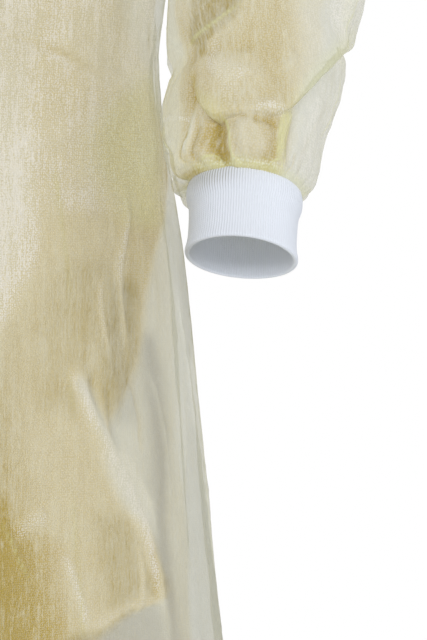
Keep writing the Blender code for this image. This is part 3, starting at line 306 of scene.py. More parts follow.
# The sleeve's rings: distance above the cuff seam, and reach from the arm's path to its outer,
# front, inner and back side.
SLEEVE_SECTIONS = (
    (0.0000, 0.0268, 0.0214, 0.0268, 0.0214),
    (0.0045, 0.0310, 0.0252, 0.0365, 0.0310),
    (0.0170, 0.0345, 0.0312, 0.0405, 0.0400),
    (0.0300, 0.0366, 0.0342, 0.0420, 0.0440),
    (0.0430, 0.0402, 0.0354, 0.0422, 0.0465),
    (0.0530, 0.0430, 0.0360, 0.0400, 0.0480),
    (0.0610, 0.0448, 0.0364, 0.0380, 0.0485),
    (0.0730, 0.0452, 0.0372, 0.0415, 0.0480),
    (0.0830, 0.0432, 0.0378, 0.0426, 0.0480),
    (0.0930, 0.0472, 0.0388, 0.0428, 0.0480),
    (0.1120, 0.0530, 0.0400, 0.0426, 0.0490),
    (0.1575, 0.0550, 0.0420, 0.0430, 0.0520),
    (0.2025, 0.0540, 0.0450, 0.0480, 0.0560),
    (0.2430, 0.0530, 0.0470, 0.0550, 0.0580),
    (0.2925, 0.0540, 0.0520, 0.0540, 0.0580),
    (0.3275, 0.0550, 0.0570, 0.0490, 0.0600),
)
OUTER, FRONT, INNER, BACK = 1, 2, 3, 4             # columns of SLEEVE_SECTIONS
SLEEVE_JOIN, SLEEVE_TOP = 0.3275, 0.5275           # where it starts to bend to the armhole, and its end
FINE_ROWS_END = 0.165                              # below it the sleeve's rows are close together
ARRIVE_ARMHOLE, OVER_ARM, UNDER_ARM = (-0.75, 0.60), (-0.25, -0.05), (-0.20, -0.35)
# The droop over the cuff: how far, round which angle, and where along the sleeve.
DROOP, DROOP_ANGLE = 0.0075, 214.0
DROOP_STARTS, DROOP_FROM, DROOP_TO = 0.006, 0.012, 0.045
ARM_RADIUS = 0.043         # turns a line's degrees into metres round the sleeve
CROWDING = 0.35            # how much closer together a sleeve's columns are on its front
# The three-cornered pocket over the cuff: distance along the sleeve, from and to.
POCKET = (1, 113, 124, 6, 112, 126, 9, 114, 126, 13, 116, 125.5, 17, 118.5, 124.5, 20, 121, 123,
          21.5, 123, 121)
# Where a sleeve hangs free, lies in painted shade, is golden with painted shade in it or double, or has a
# painted sheen.
SLEEVE_ZONES = zones(
    (FREE, 1, 7, -10, -195, 60, 10, -195, 64, 28, -195, 66, 36, -195, 66, 45, -195, 62, 60, -195, 52, 75,
     -195, 48, 130, -195, 46, 200, -195, 38, 540, -195, 36),
    (FREE, 0.4, 12, 45, 30, 66, 75, 30, 66, 130, 30, 66, 200, 30, 50),
    (PAINTED_SHEEN, 0.3, 8, -10, -60, 56, 30, -60, 50, 60, -60, 34, 130, -60, 34),
    (FREE, 0.32, 4, 6, 154, 200, 30, 150, 200, 50, 152, 200, 540, 152, 200),
    (FREE, 0.58, 4, 66, 150, 200, 90, 148, 200, 540, 150, 200),
    (DOUBLE, 0.25, 4, 70, 8, 24, 84, 13, 27, 94, 18, 31, 112, 22, 35, 150, 28, 32),
    (PAINTED_SHEEN, 0.85, 4, 70, 10, 34, 84, 14, 36, 112, 22, 44, 150, 30, 40),
    (DOUBLE, 0.22, 8, 0, 150, 196, 40, 150, 196, 120, 148, 196, 540, 150, 196),
    (GOLD_AND_SHADE, 0.38, 9, -10, 66, 150, 100, 60, 150, 180, 60, 150),
    (GOLD_AND_SHADE, 0.2, 9, 180, 60, 150, 540, 60, 150),
    (GOLD_AND_SHADE, 0.5, 4, 66, 119, 140, 77, 101, 134, 84, 98, 133, 120, 98, 130),
    (GOLD_AND_SHADE, 0.4, 7, 26, 84, 128, 36, 84, 126, 48, 96, 120),
    (PAINTED_SHADE, 0.36, 4, 62.5, 128, 138, 66, 119, 140, 70, 109, 138, 77, 101, 134, 84, 98, 133, 140, 98, 130,
     180, 104, 126),
    (GOLD_AND_SHADE, 0.45, 5, -6, 78, 140, 10, 84, 136, 22, 90, 132),
    (GOLD_AND_SHADE, 0.72, 4, 2, 74, 90, 8, 74, 90, 15, 76, 94, 20, 78, 102, 22.5, 84, 106, 23.5, 100, 96),
    (GOLD_AND_SHADE, 1.1, 1.6, *POCKET),
    (PAINTED_SHADE, 0.07, 1.6, *POCKET),
    (GOLD_AND_SHADE, 0.9, 4, -3, 153, 172, 1, 153, 172, 2.2, 162, 158),
    (DOUBLE, 0.2, 4, -3, 148, 176, 1, 148, 176, 2.2, 162, 158),
    (PAINTED_SHEEN, 0.3, 3, 38, 106, 116, 44, 98, 122, 52, 112, 126, 58, 118, 126)
)
# Broad folds of a sleeve: degrees from its outer side over the front, lean in degrees for each metre
# up, width in degrees, depth, and where along the sleeve it ends and starts.
SleeveFold = namedtuple("SleeveFold", "angle lean width depth high low")
SLEEVE_FADE_LOW, SLEEVE_FADE_HIGH = 0.30, 0.45
LEFT_FOLDS = folds(
    SleeveFold,
    (98, 60, 8, 3, 30, 2),
    (230, 60, 12, -6, 90, 4),
    (285, -60, 12, -6, 80, 4),
    (130, 420, 14, 3, 130, 65),
    (70, 420, 20, -8, 290, 190),
    (140, -300, 18, 7, 310, 200),
    (300, 160, 18, 7, 320, 120)
)
RIGHT_FOLDS = folds(
    SleeveFold,
    (60, 60, 8, 3.5, 50, 2),
    (128, -90, 9, -4.5, 70, 2),
    (150, 60, 8, 4, 60, 4),
    (110, 360, 14, 3.5, 135, 60),
    (215, 60, 12, -6, 90, 4),
    (300, -50, 12, -6, 90, 4),
    (80, 360, 20, -8, 280, 180),
    (150, -260, 18, 7, 315, 210),
    (285, 120, 18, 7, 310, 110)
)
# The line along which the upper puff hangs over the lower one, once round the sleeve: degrees,
# distance above the cuff seam, how far it stands out, and how far it hangs down.
LEFT_LIP = (
    (-110, 0.0960, 0.0000, 0.0000), (-60, 0.0960, 0.0010, 0.0010), (-20, 0.0920, 0.0034, 0.0025),
    (12, 0.0805, 0.0050, 0.0040), (30, 0.0700, 0.0058, 0.0048), (45, 0.0570, 0.0060, 0.0050),
    (56, 0.0450, 0.0055, 0.0046), (66, 0.0345, 0.0044, 0.0034), (80, 0.0268, 0.0026, 0.0014),
    (95, 0.0250, 0.0022, 0.0010), (112, 0.0240, 0.0036, 0.0026), (124, 0.0246, 0.0048, 0.0042),
    (132, 0.0310, 0.0034, 0.0030), (139, 0.0440, 0.0014, 0.0010), (150, 0.0600, 0.0, 0.0),
    (200, 0.0750, 0.0, 0.0), (250, 0.0960, 0.0, 0.0),
)
RIGHT_LIP = (
    (-110, 0.0780, 0.0000, 0.0000), (-60, 0.0780, 0.0020, 0.0010), (-20, 0.0760, 0.0045, 0.0030),
    (20, 0.0640, 0.0060, 0.0045), (60, 0.0560, 0.0050, 0.0045), (100, 0.0600, 0.0045, 0.0040),
    (125, 0.0680, 0.0020, 0.0020), (140, 0.0750, 0.0, 0.0), (200, 0.0780, 0.0, 0.0),
    (250, 0.0780, 0.0, 0.0),
)
LIP_ABOVE, LIP_BELOW, LIP_HOLLOW = 0.020, 0.0035, 0.45
# How double the cloth looks at the lip, at each angle.
LIP_DOUBLE = ((-180, 0.0), (-60, 0.1), (0, 0.30), (25, 0.46), (58, 0.40), (70, 0.26), (84, 0.10),
              (112, 0.12), (124, 0.40), (136, 0.30), (150, 0.0), (180, 0.0))
LIP_HANG_ABOVE, LIP_HANG_BELOW = 0.0080, 0.0022
LEFT_LINES = lines(
    # the deep pocket under the upper puff, and the small ones beside it
    (SOFT, 3.2, -4, None, 0, 121, 27, 119.5, 20, 117.5, 12, 116, 4, 116, -4),
    (SOFT, 4.6, -2.6, None, 0, 124, 20, 124, 13, 122, 6, 121, -2),
    (SOFT, 3.4, -0.8, GOLD_AND_SHADE, 0.45, 132, 16, 130, 9, 127, 1),
    (CREASE, 1.6, 1.4, DOUBLE, 0.9, 118, 26, 115.5, 20, 112, 12, 110.5, 5, 110.5, -2),
    # the shallow hollow under the puff's other end, golden with painted shade
    (SOFT, 3.6, -1.4, GOLD_AND_SHADE, 0.7, 100, 21.5, 92, 20.5, 84, 21, 77, 22.5),
    (SOFT, 3, 2.6, None, 0, 106, 22, 104, 14, 101, 6, 100, 1),
    (SOFT, 5.5, 2.4, None, 0, 90, 22, 88, 12, 88, 3),
    # the doubled stripe where the outer puff goes behind the middle one
    (FLAT, 3, 0.9, DOUBLE, 0.6, 66, 33, 71, 26, 74.5, 18, 74, 10, 70, 2),
    (CREASE, 1.6, 0.6, DOUBLE, 0.85, 63, 30, 67.5, 24, 69.5, 16, 68, 9, 65, 3),
    (SOFT, 3, -3, None, 0, 60, 32, 62, 24, 64, 14, 61, 4),
    # creases of the inner side, from the kink at its edge down to the cuff
    (CREASE, 2, -1.4, GOLD_AND_SHADE, 0.75, 138, 42, 138, 35, 141, 26, 146, 18, 151, 12, 153, 7, 149, 2),
    (CREASE, 1.8, -1.2, GOLD_AND_SHADE, 0.65, 134, 26, 136, 18, 140, 12, 142, 7, 143, 1),
    (SOFT, 2.6, 1, FREE, 0.8, 139, 28, 142, 20, 146, 12, 147, 6),
    (SOFT, 2.6, -1.2, GOLD_AND_SHADE, 0.6, 137, 49, 136, 42, 137, 36, 139, 30),
    (CREASE, 3, -1.2, GOLD_AND_SHADE, 0.35, 141, 62, 149, 57, 160, 50, 168, 42, 174, 33),
    (CREASE, 3.4, 1, DOUBLE, 0.3, 145, 64, 153, 60, 164, 54, 173, 46),
    (SOFT, 2.4, -1, GOLD_AND_SHADE, 0.3, 142, 62, 139, 56, 137, 50),
    (CREASE, 2.2, -1, GOLD_AND_SHADE, 0.6, 176, 34, 177, 24, 175, 14, 168, 4),
    (SOFT, 2.2, 0, DOUBLE, 0.75, 176, 36, 178.5, 29, 178.5, 22, 175, 14, 172, 8),
    (SOFT, 2.2, 0, GOLD_AND_SHADE, 0.9, 136, 1.2, 148, 0.8, 158, 0.6, 170, 1, 182, 1.6, 194, 2.4, 200, 4),
    (SOFT, 4, 0, GOLD_AND_SHADE, 0.6, 184, 5, 194, 3, 202, 4),
    (CREASE, 3.6, 1, DOUBLE, 0.25, 170, 90, 166, 78, 158, 70, 146, 64),
    (CREASE, 1, 0.2, PAINTED_SHEEN, 0.9, 184, 34.5, 172, 31, 160, 28, 150, 25, 141, 22),
    (CREASE, 1, 0.2, PAINTED_SHEEN, 0.5, 176, 20, 168, 18, 158, 16),
    (SOFT, 4, 2.2, None, 0, 178, 30, 170, 20, 160, 10),
    # lines of the upper puff
    (CREASE, 2.2, 1, None, 0, 142, 65, 131, 68, 119, 71, 110, 75, 100, 81),
    (SOFT, 1, 0, DOUBLE, 0.75, 146, 64, 131, 68, 119, 71, 110, 75, 98, 82),
    (SOFT, 4, -1.4, None, 0, 140, 60, 128, 58, 114, 57, 100, 58, 88, 60),
    (SOFT, 5, 1.2, None, 0, 126, 50, 114, 46, 100, 44, 84, 48),
    (SOFT, 2.2, 1.2, None, 0, 66, 60, 70, 52, 74, 46),
    (CREASE, 7.2, 1.8, DOUBLE, 0.8, 16, 72, 22, 82, 20, 94, 23, 108, 30, 125),
    (SOFT, 3, -1.8, None, 0, 8, 78, 10, 90, 8, 106),
    (SOFT, 3.4, 1.2, PAINTED_SHEEN, 0.45, 40, 104, 46, 110, 56, 118, 66, 124),
    (SOFT, 3, 1, PAINTED_SHEEN, 0.5, 70, 26, 80, 28.5, 90, 27.5, 100, 25.5),
    # small loops of cloth caught at the cuff seam, with a painted highlight along the seam
    (SOFT, 1.3, 0, PAINTED_SHEEN, 0.55, 50, 2.6, 64, 3, 82, 2.6, 102, 2.4, 118, 2.2, 138, 2.2, 156, 1.6),
    (CREASE, 2.2, 1, DOUBLE, 0.8, 143, 1.2, 135, 3.4, 126, 4.6, 121, 3.6, 127, 0.4),
    (CREASE, 2.2, 0.9, DOUBLE, 0.8, 112, 4, 109, 2.4, 106, 0.4),
    (CREASE, 2.2, 0.8, DOUBLE, 0.8, 97, 0.6, 92, 2.2, 86, 0.6),
    (CREASE, 2.2, 0.9, DOUBLE, 0.8, 82, 0.6, 77, 4, 71, 5.2, 67, 3, 66, 0.6),
    (CREASE, 2.9, -1, GOLD_AND_SHADE, 0.8, 60, 1, 56, 6, 58, 12),
    # the outer puff, and the hidden side
    (SOFT, 13, -6.2, None, 0, 178, 0, 184, 6, 190, 12, 194, 18),
    (SOFT, 17, -6, None, 0, 204, 2, 212, 10, 218, 20, 222, 30),
    (SOFT, 6, 1.4, None, 0, 40, 46, 42, 30, 38, 14),
    (CREASE, 3.8, 0.8, DOUBLE, 0.8, 20, 62, 18, 45, 22, 26),
    (CREASE, 4.8, -1.8, GOLD_AND_SHADE, 0.8, -30, 70, -34, 50, -30, 26, -26, 4),
    (CREASE, 5.3, 1.9, DOUBLE, 0.8, -60, 80, -66, 56, -62, 30, -60, 4),
    (CREASE, 4.8, -2.1, GOLD_AND_SHADE, 0.8, -100, 70, -96, 50, -98, 28, -94, 4),
    (CREASE, 5.3, 1.9, DOUBLE, 0.8, -128, 80, -134, 58, -130, 30, -132, 6),
    (CREASE, 7.2, 1.9, DOUBLE, 0.8, 70, 300, 84, 270, 104, 250, 126, 244),
    (CREASE, 7.2, -2.2, GOLD_AND_SHADE, 0.8, 60, 262, 80, 236, 104, 222, 130, 220),
    (SOFT, 4, 2.6, None, 0, 40, 220, 60, 200, 84, 186),
    (CREASE, 7.2, 1.9, DOUBLE, 0.8, 150, 180, 140, 160, 124, 146)
)
RIGHT_LINES = lines(
    (SOFT, 4.2, -7, None, 0, 82, 46, 84, 32, 80, 18, 80, 4),
    (SOFT, 3, 2.6, None, 0, 96, 46, 98, 30, 94, 12),
    (CREASE, 3.8, -1.9, GOLD_AND_SHADE, 0.8, 116, 62, 120, 44, 128, 26, 140, 6),
    (CREASE, 5.3, 1.6, DOUBLE, 0.8, 108, 66, 110, 46, 116, 24, 124, 4),
    (CREASE, 3.8, 1.4, DOUBLE, 0.8, 60, 52, 58, 34, 62, 14),
    (CREASE, 3.4, 1.1, DOUBLE, 0.8, 150, 80, 134, 86, 116, 90, 98, 98),
    (CREASE, 4.8, -1.9, GOLD_AND_SHADE, 0.8, 30, 56, 28, 36, 33, 10),
    (CREASE, 5.3, 1.8, DOUBLE, 0.8, 10, 66, 6, 40, 12, 8),
    (CREASE, 4.8, -1.8, GOLD_AND_SHADE, 0.8, -30, 70, -34, 50, -30, 10),
    (CREASE, 5.3, 1.9, DOUBLE, 0.8, -70, 70, -76, 48, -70, 8),
    (CREASE, 4.8, -2.1, GOLD_AND_SHADE, 0.8, -110, 66, -104, 44, -108, 8),
    (CREASE, 5.3, 1.9, DOUBLE, 0.8, -140, 70, -146, 46, -140, 8),
    (CREASE, 7.2, 1.9, DOUBLE, 0.8, 76, 310, 90, 282, 110, 262, 132, 256),
    (CREASE, 7.2, -2.2, GOLD_AND_SHADE, 0.8, 66, 256, 86, 230, 110, 216, 136, 212),
    (SOFT, 4, 2.6, None, 0, 50, 200, 70, 180, 94, 170),
    (CREASE, 7.2, 1.9, DOUBLE, 0.8, 160, 200, 146, 176, 130, 156)
)

# The cuff's outside from its seam down to its fold: distance below the seam, and share of the seam
# ring's reach. The cloth turns in over the top, stands out over the seam's edges, and flares at the fold.
CUFF_PROFILE = ((-0.0016, 0.930), (-0.0012, 0.975), (0.0000, 1.008), (0.0020, 1.032), (0.0045, 1.040),
                (0.0078, 1.034), (0.0100, 1.012), (0.0122, 0.985), (0.0180, 0.970), (0.0270, 0.968),
                (0.0315, 0.985), (0.0340, 1.004), (0.0353, 1.006))
CUFF_FOLD = 0.0362         # the lowest point
CUFF_INSIDE = 0.085        # how much less the inside's share is
CUFF_TOP_INSIDE = -0.0010

WAIST_TIE_WIDTH, WAIST_TIE_HEIGHT = 0.026, -0.425
WAIST_KNOT = np.array([0.036, 0.014, 0.030])
WAIST_KNOT_CLEAR = 0.0018
WAIST_TAIL_LENGTH = 0.330
TAIL_OPENS, TAIL_OFF_MIDDLE, TAIL_SPREAD, TAIL_LEAN = 0.070, 0.009, 0.008, 0.085
TAIL_WAVE, TAIL_WAVE_TURN = 0.0025, 45.0
NECK_TIE_WIDTH = 0.009
NECK_KNOT = np.array([0.0190, 0.009, 0.013])
KNOT_SINK = 0.003
NECK_END_TOP, NECK_END_BOTTOM = 0.93, 0.06
NECK_END_OFF, NECK_END_LEAN, NECK_END_HALF_PANEL = 0.0165, 0.050, 0.30
TIE_CLEAR, TIE_WALL = 0.0009, 0.0010

CLOTH_COVER, BINDING_COVER = 0.57, 0.80            # share that isn't seen through, at mid depth
FLOOR_RADIUS, FLOOR_HEIGHT = 2.6, -1.42
# Lights: name, place, what each points at, size and watts.
LIGHTS = (("key", (-0.5, -2.6, 0.5), (0.15, 0.0, -0.60), 0.9, 29.2),
          ("fill", (2.2, -1.5, 0.2), (0.10, 0.0, -0.60), 1.4, 19.0),
          ("back", (0.6, 2.2, 0.6), (0.10, 0.0, -0.60), 1.8, 12.0))
CAMERA_PLACE = (0.2320, -1.7230, -0.6771)


# ---------------------------------------------------------------- colour and settings
def linear(hex_colour):
    """An sRGB hex colour as linear red, green, blue and alpha."""
    channels = [int(hex_colour[i:i + 2], 16) / 255 for i in (0, 2, 4)]
    return tuple(c / 12.92 if c <= 0.04045 else ((c + 0.055) / 1.055) ** 2.4 for c in channels) + (1.0,)


def colour_property(name, description, hex_colour):
    return FloatVectorProperty(name=name, description=description, subtype="COLOR", size=4, min=0, max=1,
                               default=linear(hex_colour))


def length_property(name, description, default):
    return FloatProperty(name=name, description=description, unit="LENGTH", default=default)


class GownCloth(PropertyGroup):
    """The nonwoven cloth of the body, the sleeves and the ties."""
    colour: colour_property("Cloth", "Colour of the filaments", "DFD5AD")
    pale: colour_property("Pale", "Colour where the cloth is thin and pulled smooth", "DADDCF")
    # The Deep colour is cloth in layers, darkened as painted shade in the folds; the Sheen colour is a
    # painted highlight; the Shade colour is painted shade.
    deep: colour_property("Deep", "Colour in the depths of the folds", "B99E16")
    painted_sheen: colour_property("Sheen", "Colour of the light on smooth filaments", "F7F4EC")
    shade: colour_property("Shade", "Colour of cloth with other cloth behind it", "92918C")
    double: colour_property("Double", "Colour where the cloth lies double", "ECEFBE")
    bond_pitch: length_property("Bond pitch", "Distance between the point bonds", 0.00112)
    filament: length_property("Streak width", "Width of a streak of filaments", 0.00055)
    crumple: length_property("Crumple", "Depth of the cloth's small unevenness", 0.00045)
    gathers: IntProperty(name="Gathers", description="Gathers round each cuff seam", default=26)
    gather_depth: length_property("Gather depth", "How far a gather stands out", 0.0017)


class GownCuffs(PropertyGroup):
    """The rib knit cuffs."""
    colour: colour_property("Knit", "Colour of the yarn", "E1E7F2")
    ribs: IntProperty(name="Ribs", description="Ribs round a cuff", default=118)
    rib_depth: length_property("Rib depth", "From a rib's back to its valley", 0.00042)
    course: length_property("Course", "Height of one row of stitches", 0.0011)


class GownTrims(PropertyGroup):
    """The neck binding and the ties."""
    thread: colour_property("Thread", "Colour of the sewing thread", "F0E7B4")
    stitch: length_property("Stitch", "Length of a stitch", 0.0030)


class GownStage(PropertyGroup):
    """The floor, the lights and the camera."""
    floor: colour_property("Floor", "Colour of the floor", "F2F2F0")
    ambient: FloatProperty(name="Ambient", description="Strength of the light from all round", default=0.55)
    lens: FloatProperty(name="Lens", description="Focal length on a 36 mm high frame, in millimetres",
                        default=189.87)


# ---------------------------------------------------------------- arithmetic
def cubic(start, end, leave, arrive, t):
    """The cubic curve from start to end that leaves and arrives with the given slopes."""
    return ((1 + 2 * t) * (1 - t) ** 2 * start + t * (1 - t) ** 2 * leave
            + t * t * (3 - 2 * t) * end - t * t * (1 - t) * arrive)


def table(rows, column, at):
    """A column of a table at a value of its first column, by cubic pieces that have the slopes of the
    neighbouring rows, so that the curve runs through every row."""
    data = np.array(rows, float)
    if data[0, 0] > data[-1, 0]:
        data = data[::-1]
    x, y = data[:, 0], data[:, column]
    slope = np.gradient(y, x)
    at = np.clip(np.asarray(at, float), x[0], x[-1])
    i = np.clip(np.searchsorted(x, at, side="right") - 1, 0, len(x) - 2)
    span = x[i + 1] - x[i]
    return cubic(y[i], y[i + 1], span * slope[i], span * slope[i + 1], (at - x[i]) / span)


def ease(low, high, at):
    """0 below low, 1 above high, and an S-curve between."""
    t = np.clip((np.asarray(at, float) - low) / (high - low), 0.0, 1.0)
    return t * t * (3 - 2 * t)


def bell(at, width):
    return np.exp(-(at / width) ** 2)


def turned(angle):
    """Degrees brought between -180 and 180."""
    return (angle + 180.0) % 360.0 - 180.0


def unit(vectors):
    return vectors / np.maximum(np.linalg.norm(vectors, axis=-1, keepdims=True), 1e-12)


def facing(vectors, toward):
    """The vectors, turned round where they point away from toward."""
    return vectors * np.sign((vectors * toward).sum(-1, keepdims=True) + 1e-9)


def normals_of(points, wrap=False):
    """Unit normals of a grid of points: the cross product of its steps down and across."""
    down = np.gradient(points, axis=0)
    if wrap:
        across = np.roll(points, -1, axis=1) - np.roll(points, 1, axis=1)
    else:
        across = np.gradient(points, axis=1)
    return unit(np.cross(down, across))


def through_points(points, steps):
    """A smooth line through points, with steps between two of them: the cubic whose slope at a point
    is that between its neighbours."""
    points = np.array(points, float)
    slopes = np.gradient(points, axis=0)
    t = np.linspace(0, 1, steps, endpoint=False)[:, None]
    pieces = [cubic(a, b, da, db, t) for a, b, da, db in zip(points, points[1:], slopes, slopes[1:])]
    return np.concatenate(pieces + [points[-1:]])


def line_relief(lines, degrees, along, radius):
    """(outward move, colours) that the lines give each point. The distance to a line is that to the
    nearest of its short straight pieces. Across it a soft line is exp(-distance^2), a crease is
    exp(-distance) with a small round top, and a flat one has steep sides; all fade towards both ends.
    The colour is narrow on a crease."""
    move = np.zeros(degrees.shape)
    colours = {name: np.zeros(degrees.shape) for name in (DOUBLE, GOLD_AND_SHADE, FREE, PAINTED_SHEEN, PAINTED_SHADE)}
    scale = math.radians(1.0) * radius
    for line in lines:
        path = through_points(line.points, 5) * (scale, 1.0)
        middle = 0.5 * (path[:, 0].min() + path[:, 0].max()) / scale
        x = (middle + turned(degrees - middle)) * scale
        reach = 5 * line.width
        near = ((x > path[:, 0].min() - reach) & (x < path[:, 0].max() + reach)
                & (along > path[:, 1].min() - reach) & (along < path[:, 1].max() + reach))
        if not near.any():
            continue
        at = np.stack([x[near], along[near]], axis=-1)
        best = np.full(len(at), np.inf)
        share = np.zeros(len(at))
        for k, (a, b) in enumerate(zip(path, path[1:])):
            t = np.clip((at - a) @ (b - a) / ((b - a) @ (b - a)), 0, 1)
            gap = np.linalg.norm(at - a - t[:, None] * (b - a), axis=1)
            share = np.where(gap < best, (k + t) / (len(path) - 1), share)
            best = np.minimum(gap, best)
        ends = ease(0, 0.25, share) * ease(0, 0.25, 1 - share)
        if line.kind == CREASE:
            top = 0.12 * line.width
            form = np.exp(-(np.sqrt(best ** 2 + top ** 2) - top) / line.width)
            band = bell(best, CREASE_MARK)
        elif line.kind == FLAT:
            form = band = 1 - ease(0.72 * line.width, 1.15 * line.width, best)
        else:
            form, band = bell(best, line.width), bell(best, 0.8 * line.width)
        move[near] += line.depth * form * ends
        if line.colour:
            field = colours[line.colour]
            field[near] = np.maximum(field[near], line.strength * band * np.sqrt(ends))
    return move, colours


def add_zones(zones, degrees, along, colours):
    """Adds each zone's colour where it is the stronger one."""
    for zone in zones:
        heights = zone.rows[:, 0]
        inside = (ease(-zone.soft, zone.soft, degrees - table(zone.rows, 1, along))
                  * ease(-zone.soft, zone.soft, table(zone.rows, 2, along) - degrees)
                  * ease(-ZONE_FADE, 0.0, along - heights.min())
                  * ease(-ZONE_FADE, 0.0, heights.max() - along))
        colours[zone.colour] = np.maximum(colours[zone.colour], zone.strength * inside)


def crumple(x, y, seed, wave):
    """Small unevenness of a paper-like cloth, between about -1 and 1: a mean of rounded creases
    abs(sin) in seeded directions, each bent by a slower wave, over about three scales."""
    draw = np.random.default_rng(seed)
    total = np.zeros(np.broadcast(x, y).shape)
    weight = 0.0
    for k in range(9):
        turn, phase, bend = draw.uniform(0, 2 * math.pi, 3)
        length = wave * (0.55 + 0.28 * k)
        share = (k + 2.0) ** 0.5
        run = (x * math.cos(turn) + y * math.sin(turn)) / length
        side = (y * math.cos(turn) - x * math.sin(turn)) / length
        value = np.sin(2 * math.pi * run + phase + 1.6 * np.sin(1.7 * side + bend))
        total += share * (1.0 - 1.57 * np.sqrt(value ** 2 + 0.012))
        weight += share
    return total / weight * 2.2


# ---------------------------------------------------------------- the body's surface
def body_ring(face, u, height):
    """A level half ellipse at each height: u is 0 in the middle and +-1 at the side seams."""
    depth = table(BODY_SECTIONS, FRONT_DEPTH if face == "front" else BACK_DEPTH, height)
    toward = -1.0 if face == "front" else 1.0
    return np.stack([table(BODY_SECTIONS, HALF_WIDTH, height) * np.sin(0.5 * math.pi * u),
                     toward * depth * np.cos(0.5 * math.pi * u), height + 0.0 * u], axis=-1)


def top_edge(face, u):
    """The panel's top edge: a dipping quarter ellipse for the neckline, then the straight shoulder."""
    low = NECK_FRONT if face == "front" else NECK_BACK
    size = np.abs(u)
    turn = 0.5 * math.pi * np.clip(size / NECK_SHARE, 0, 1)
    dip = np.abs(np.cos(turn)) ** NECK_DIP_POWER
    neck = np.stack([NECK_POINT[0] * np.sin(turn), NECK_POINT[1] + (low[1] - NECK_POINT[1]) * np.cos(turn),
                     NECK_POINT[2] + (low[2] - NECK_POINT[2]) * dip], axis=-1)
    along = np.clip((size - NECK_SHARE) / (1 - NECK_SHARE), 0, 1)[..., None]
    shoulder = NECK_POINT + (SHOULDER_POINT - NECK_POINT) * along
    point = np.where((size < NECK_SHARE)[..., None], neck, shoulder)
    return point * np.stack([np.where(u < 0, -1.0, 1.0), np.ones_like(u), np.ones_like(u)], -1)


def upper_body(face, u, v):
    """Above the underarm (v from 0 to 1) each line is a cubic curve from the ring to the top edge."""
    side, toward = np.where(u < 0, -1.0, 1.0), -1.0 if face == "front" else 1.0
    near_edge = ease(EDGE_FROM, 1.0, np.abs(u))[..., None]
    on_shoulder = ease(SHOULDER_FROM, SHOULDER_TO, np.abs(u))[..., None]
    sense = np.stack([side, np.full_like(side, toward), np.ones_like(side)], -1)
    leave_centre, leave_edge, arrive_neck, arrive_shoulder, arrive_edge = (
        np.array(vector) * sense
        for vector in (LEAVE_CENTRE, LEAVE_EDGE, ARRIVE_NECK, ARRIVE_SHOULDER, ARRIVE_EDGE))
    leave = leave_centre + (leave_edge - leave_centre) * near_edge
    arrive = arrive_neck + (arrive_shoulder - arrive_neck) * on_shoulder
    arrive = arrive + (arrive_edge - arrive) * near_edge
    return cubic(body_ring(face, u, UNDERARM + 0.0 * u), top_edge(face, u), leave, arrive, v[..., None])


def drape(degrees, height):
    """The outward move of the body's drape folds: each is a bell across, faded at its ends."""
    total = np.zeros(np.broadcast(degrees, height).shape)
    for fold in BODY_FOLDS:
        length = fold.top - fold.bottom
        along = ease(0.0, FOLD_FADE_TOP * length, fold.top - height)
        if fold.bottom > -GOWN_LENGTH:
            along = along * ease(0.0, FOLD_FADE_BOTTOM * length, height - fold.bottom)
        total += fold.depth * along * bell(turned(degrees - fold.angle - fold.lean * (fold.top - height)),
                                           fold.width)
    return total


def waist_gathers(degrees, height):
    """Short upright pinches above and below the waist ties, round the back."""
    total = np.zeros(np.broadcast(degrees, height).shape)
    for centre, depth in WAIST_GATHERS:
        for side in (1, -1):
            off = turned(degrees - side * centre)
            total += depth * bell(off, GATHER_WIDTH) * bell(height - WAIST_TIE_HEIGHT, GATHER_HEIGHT)
    return total


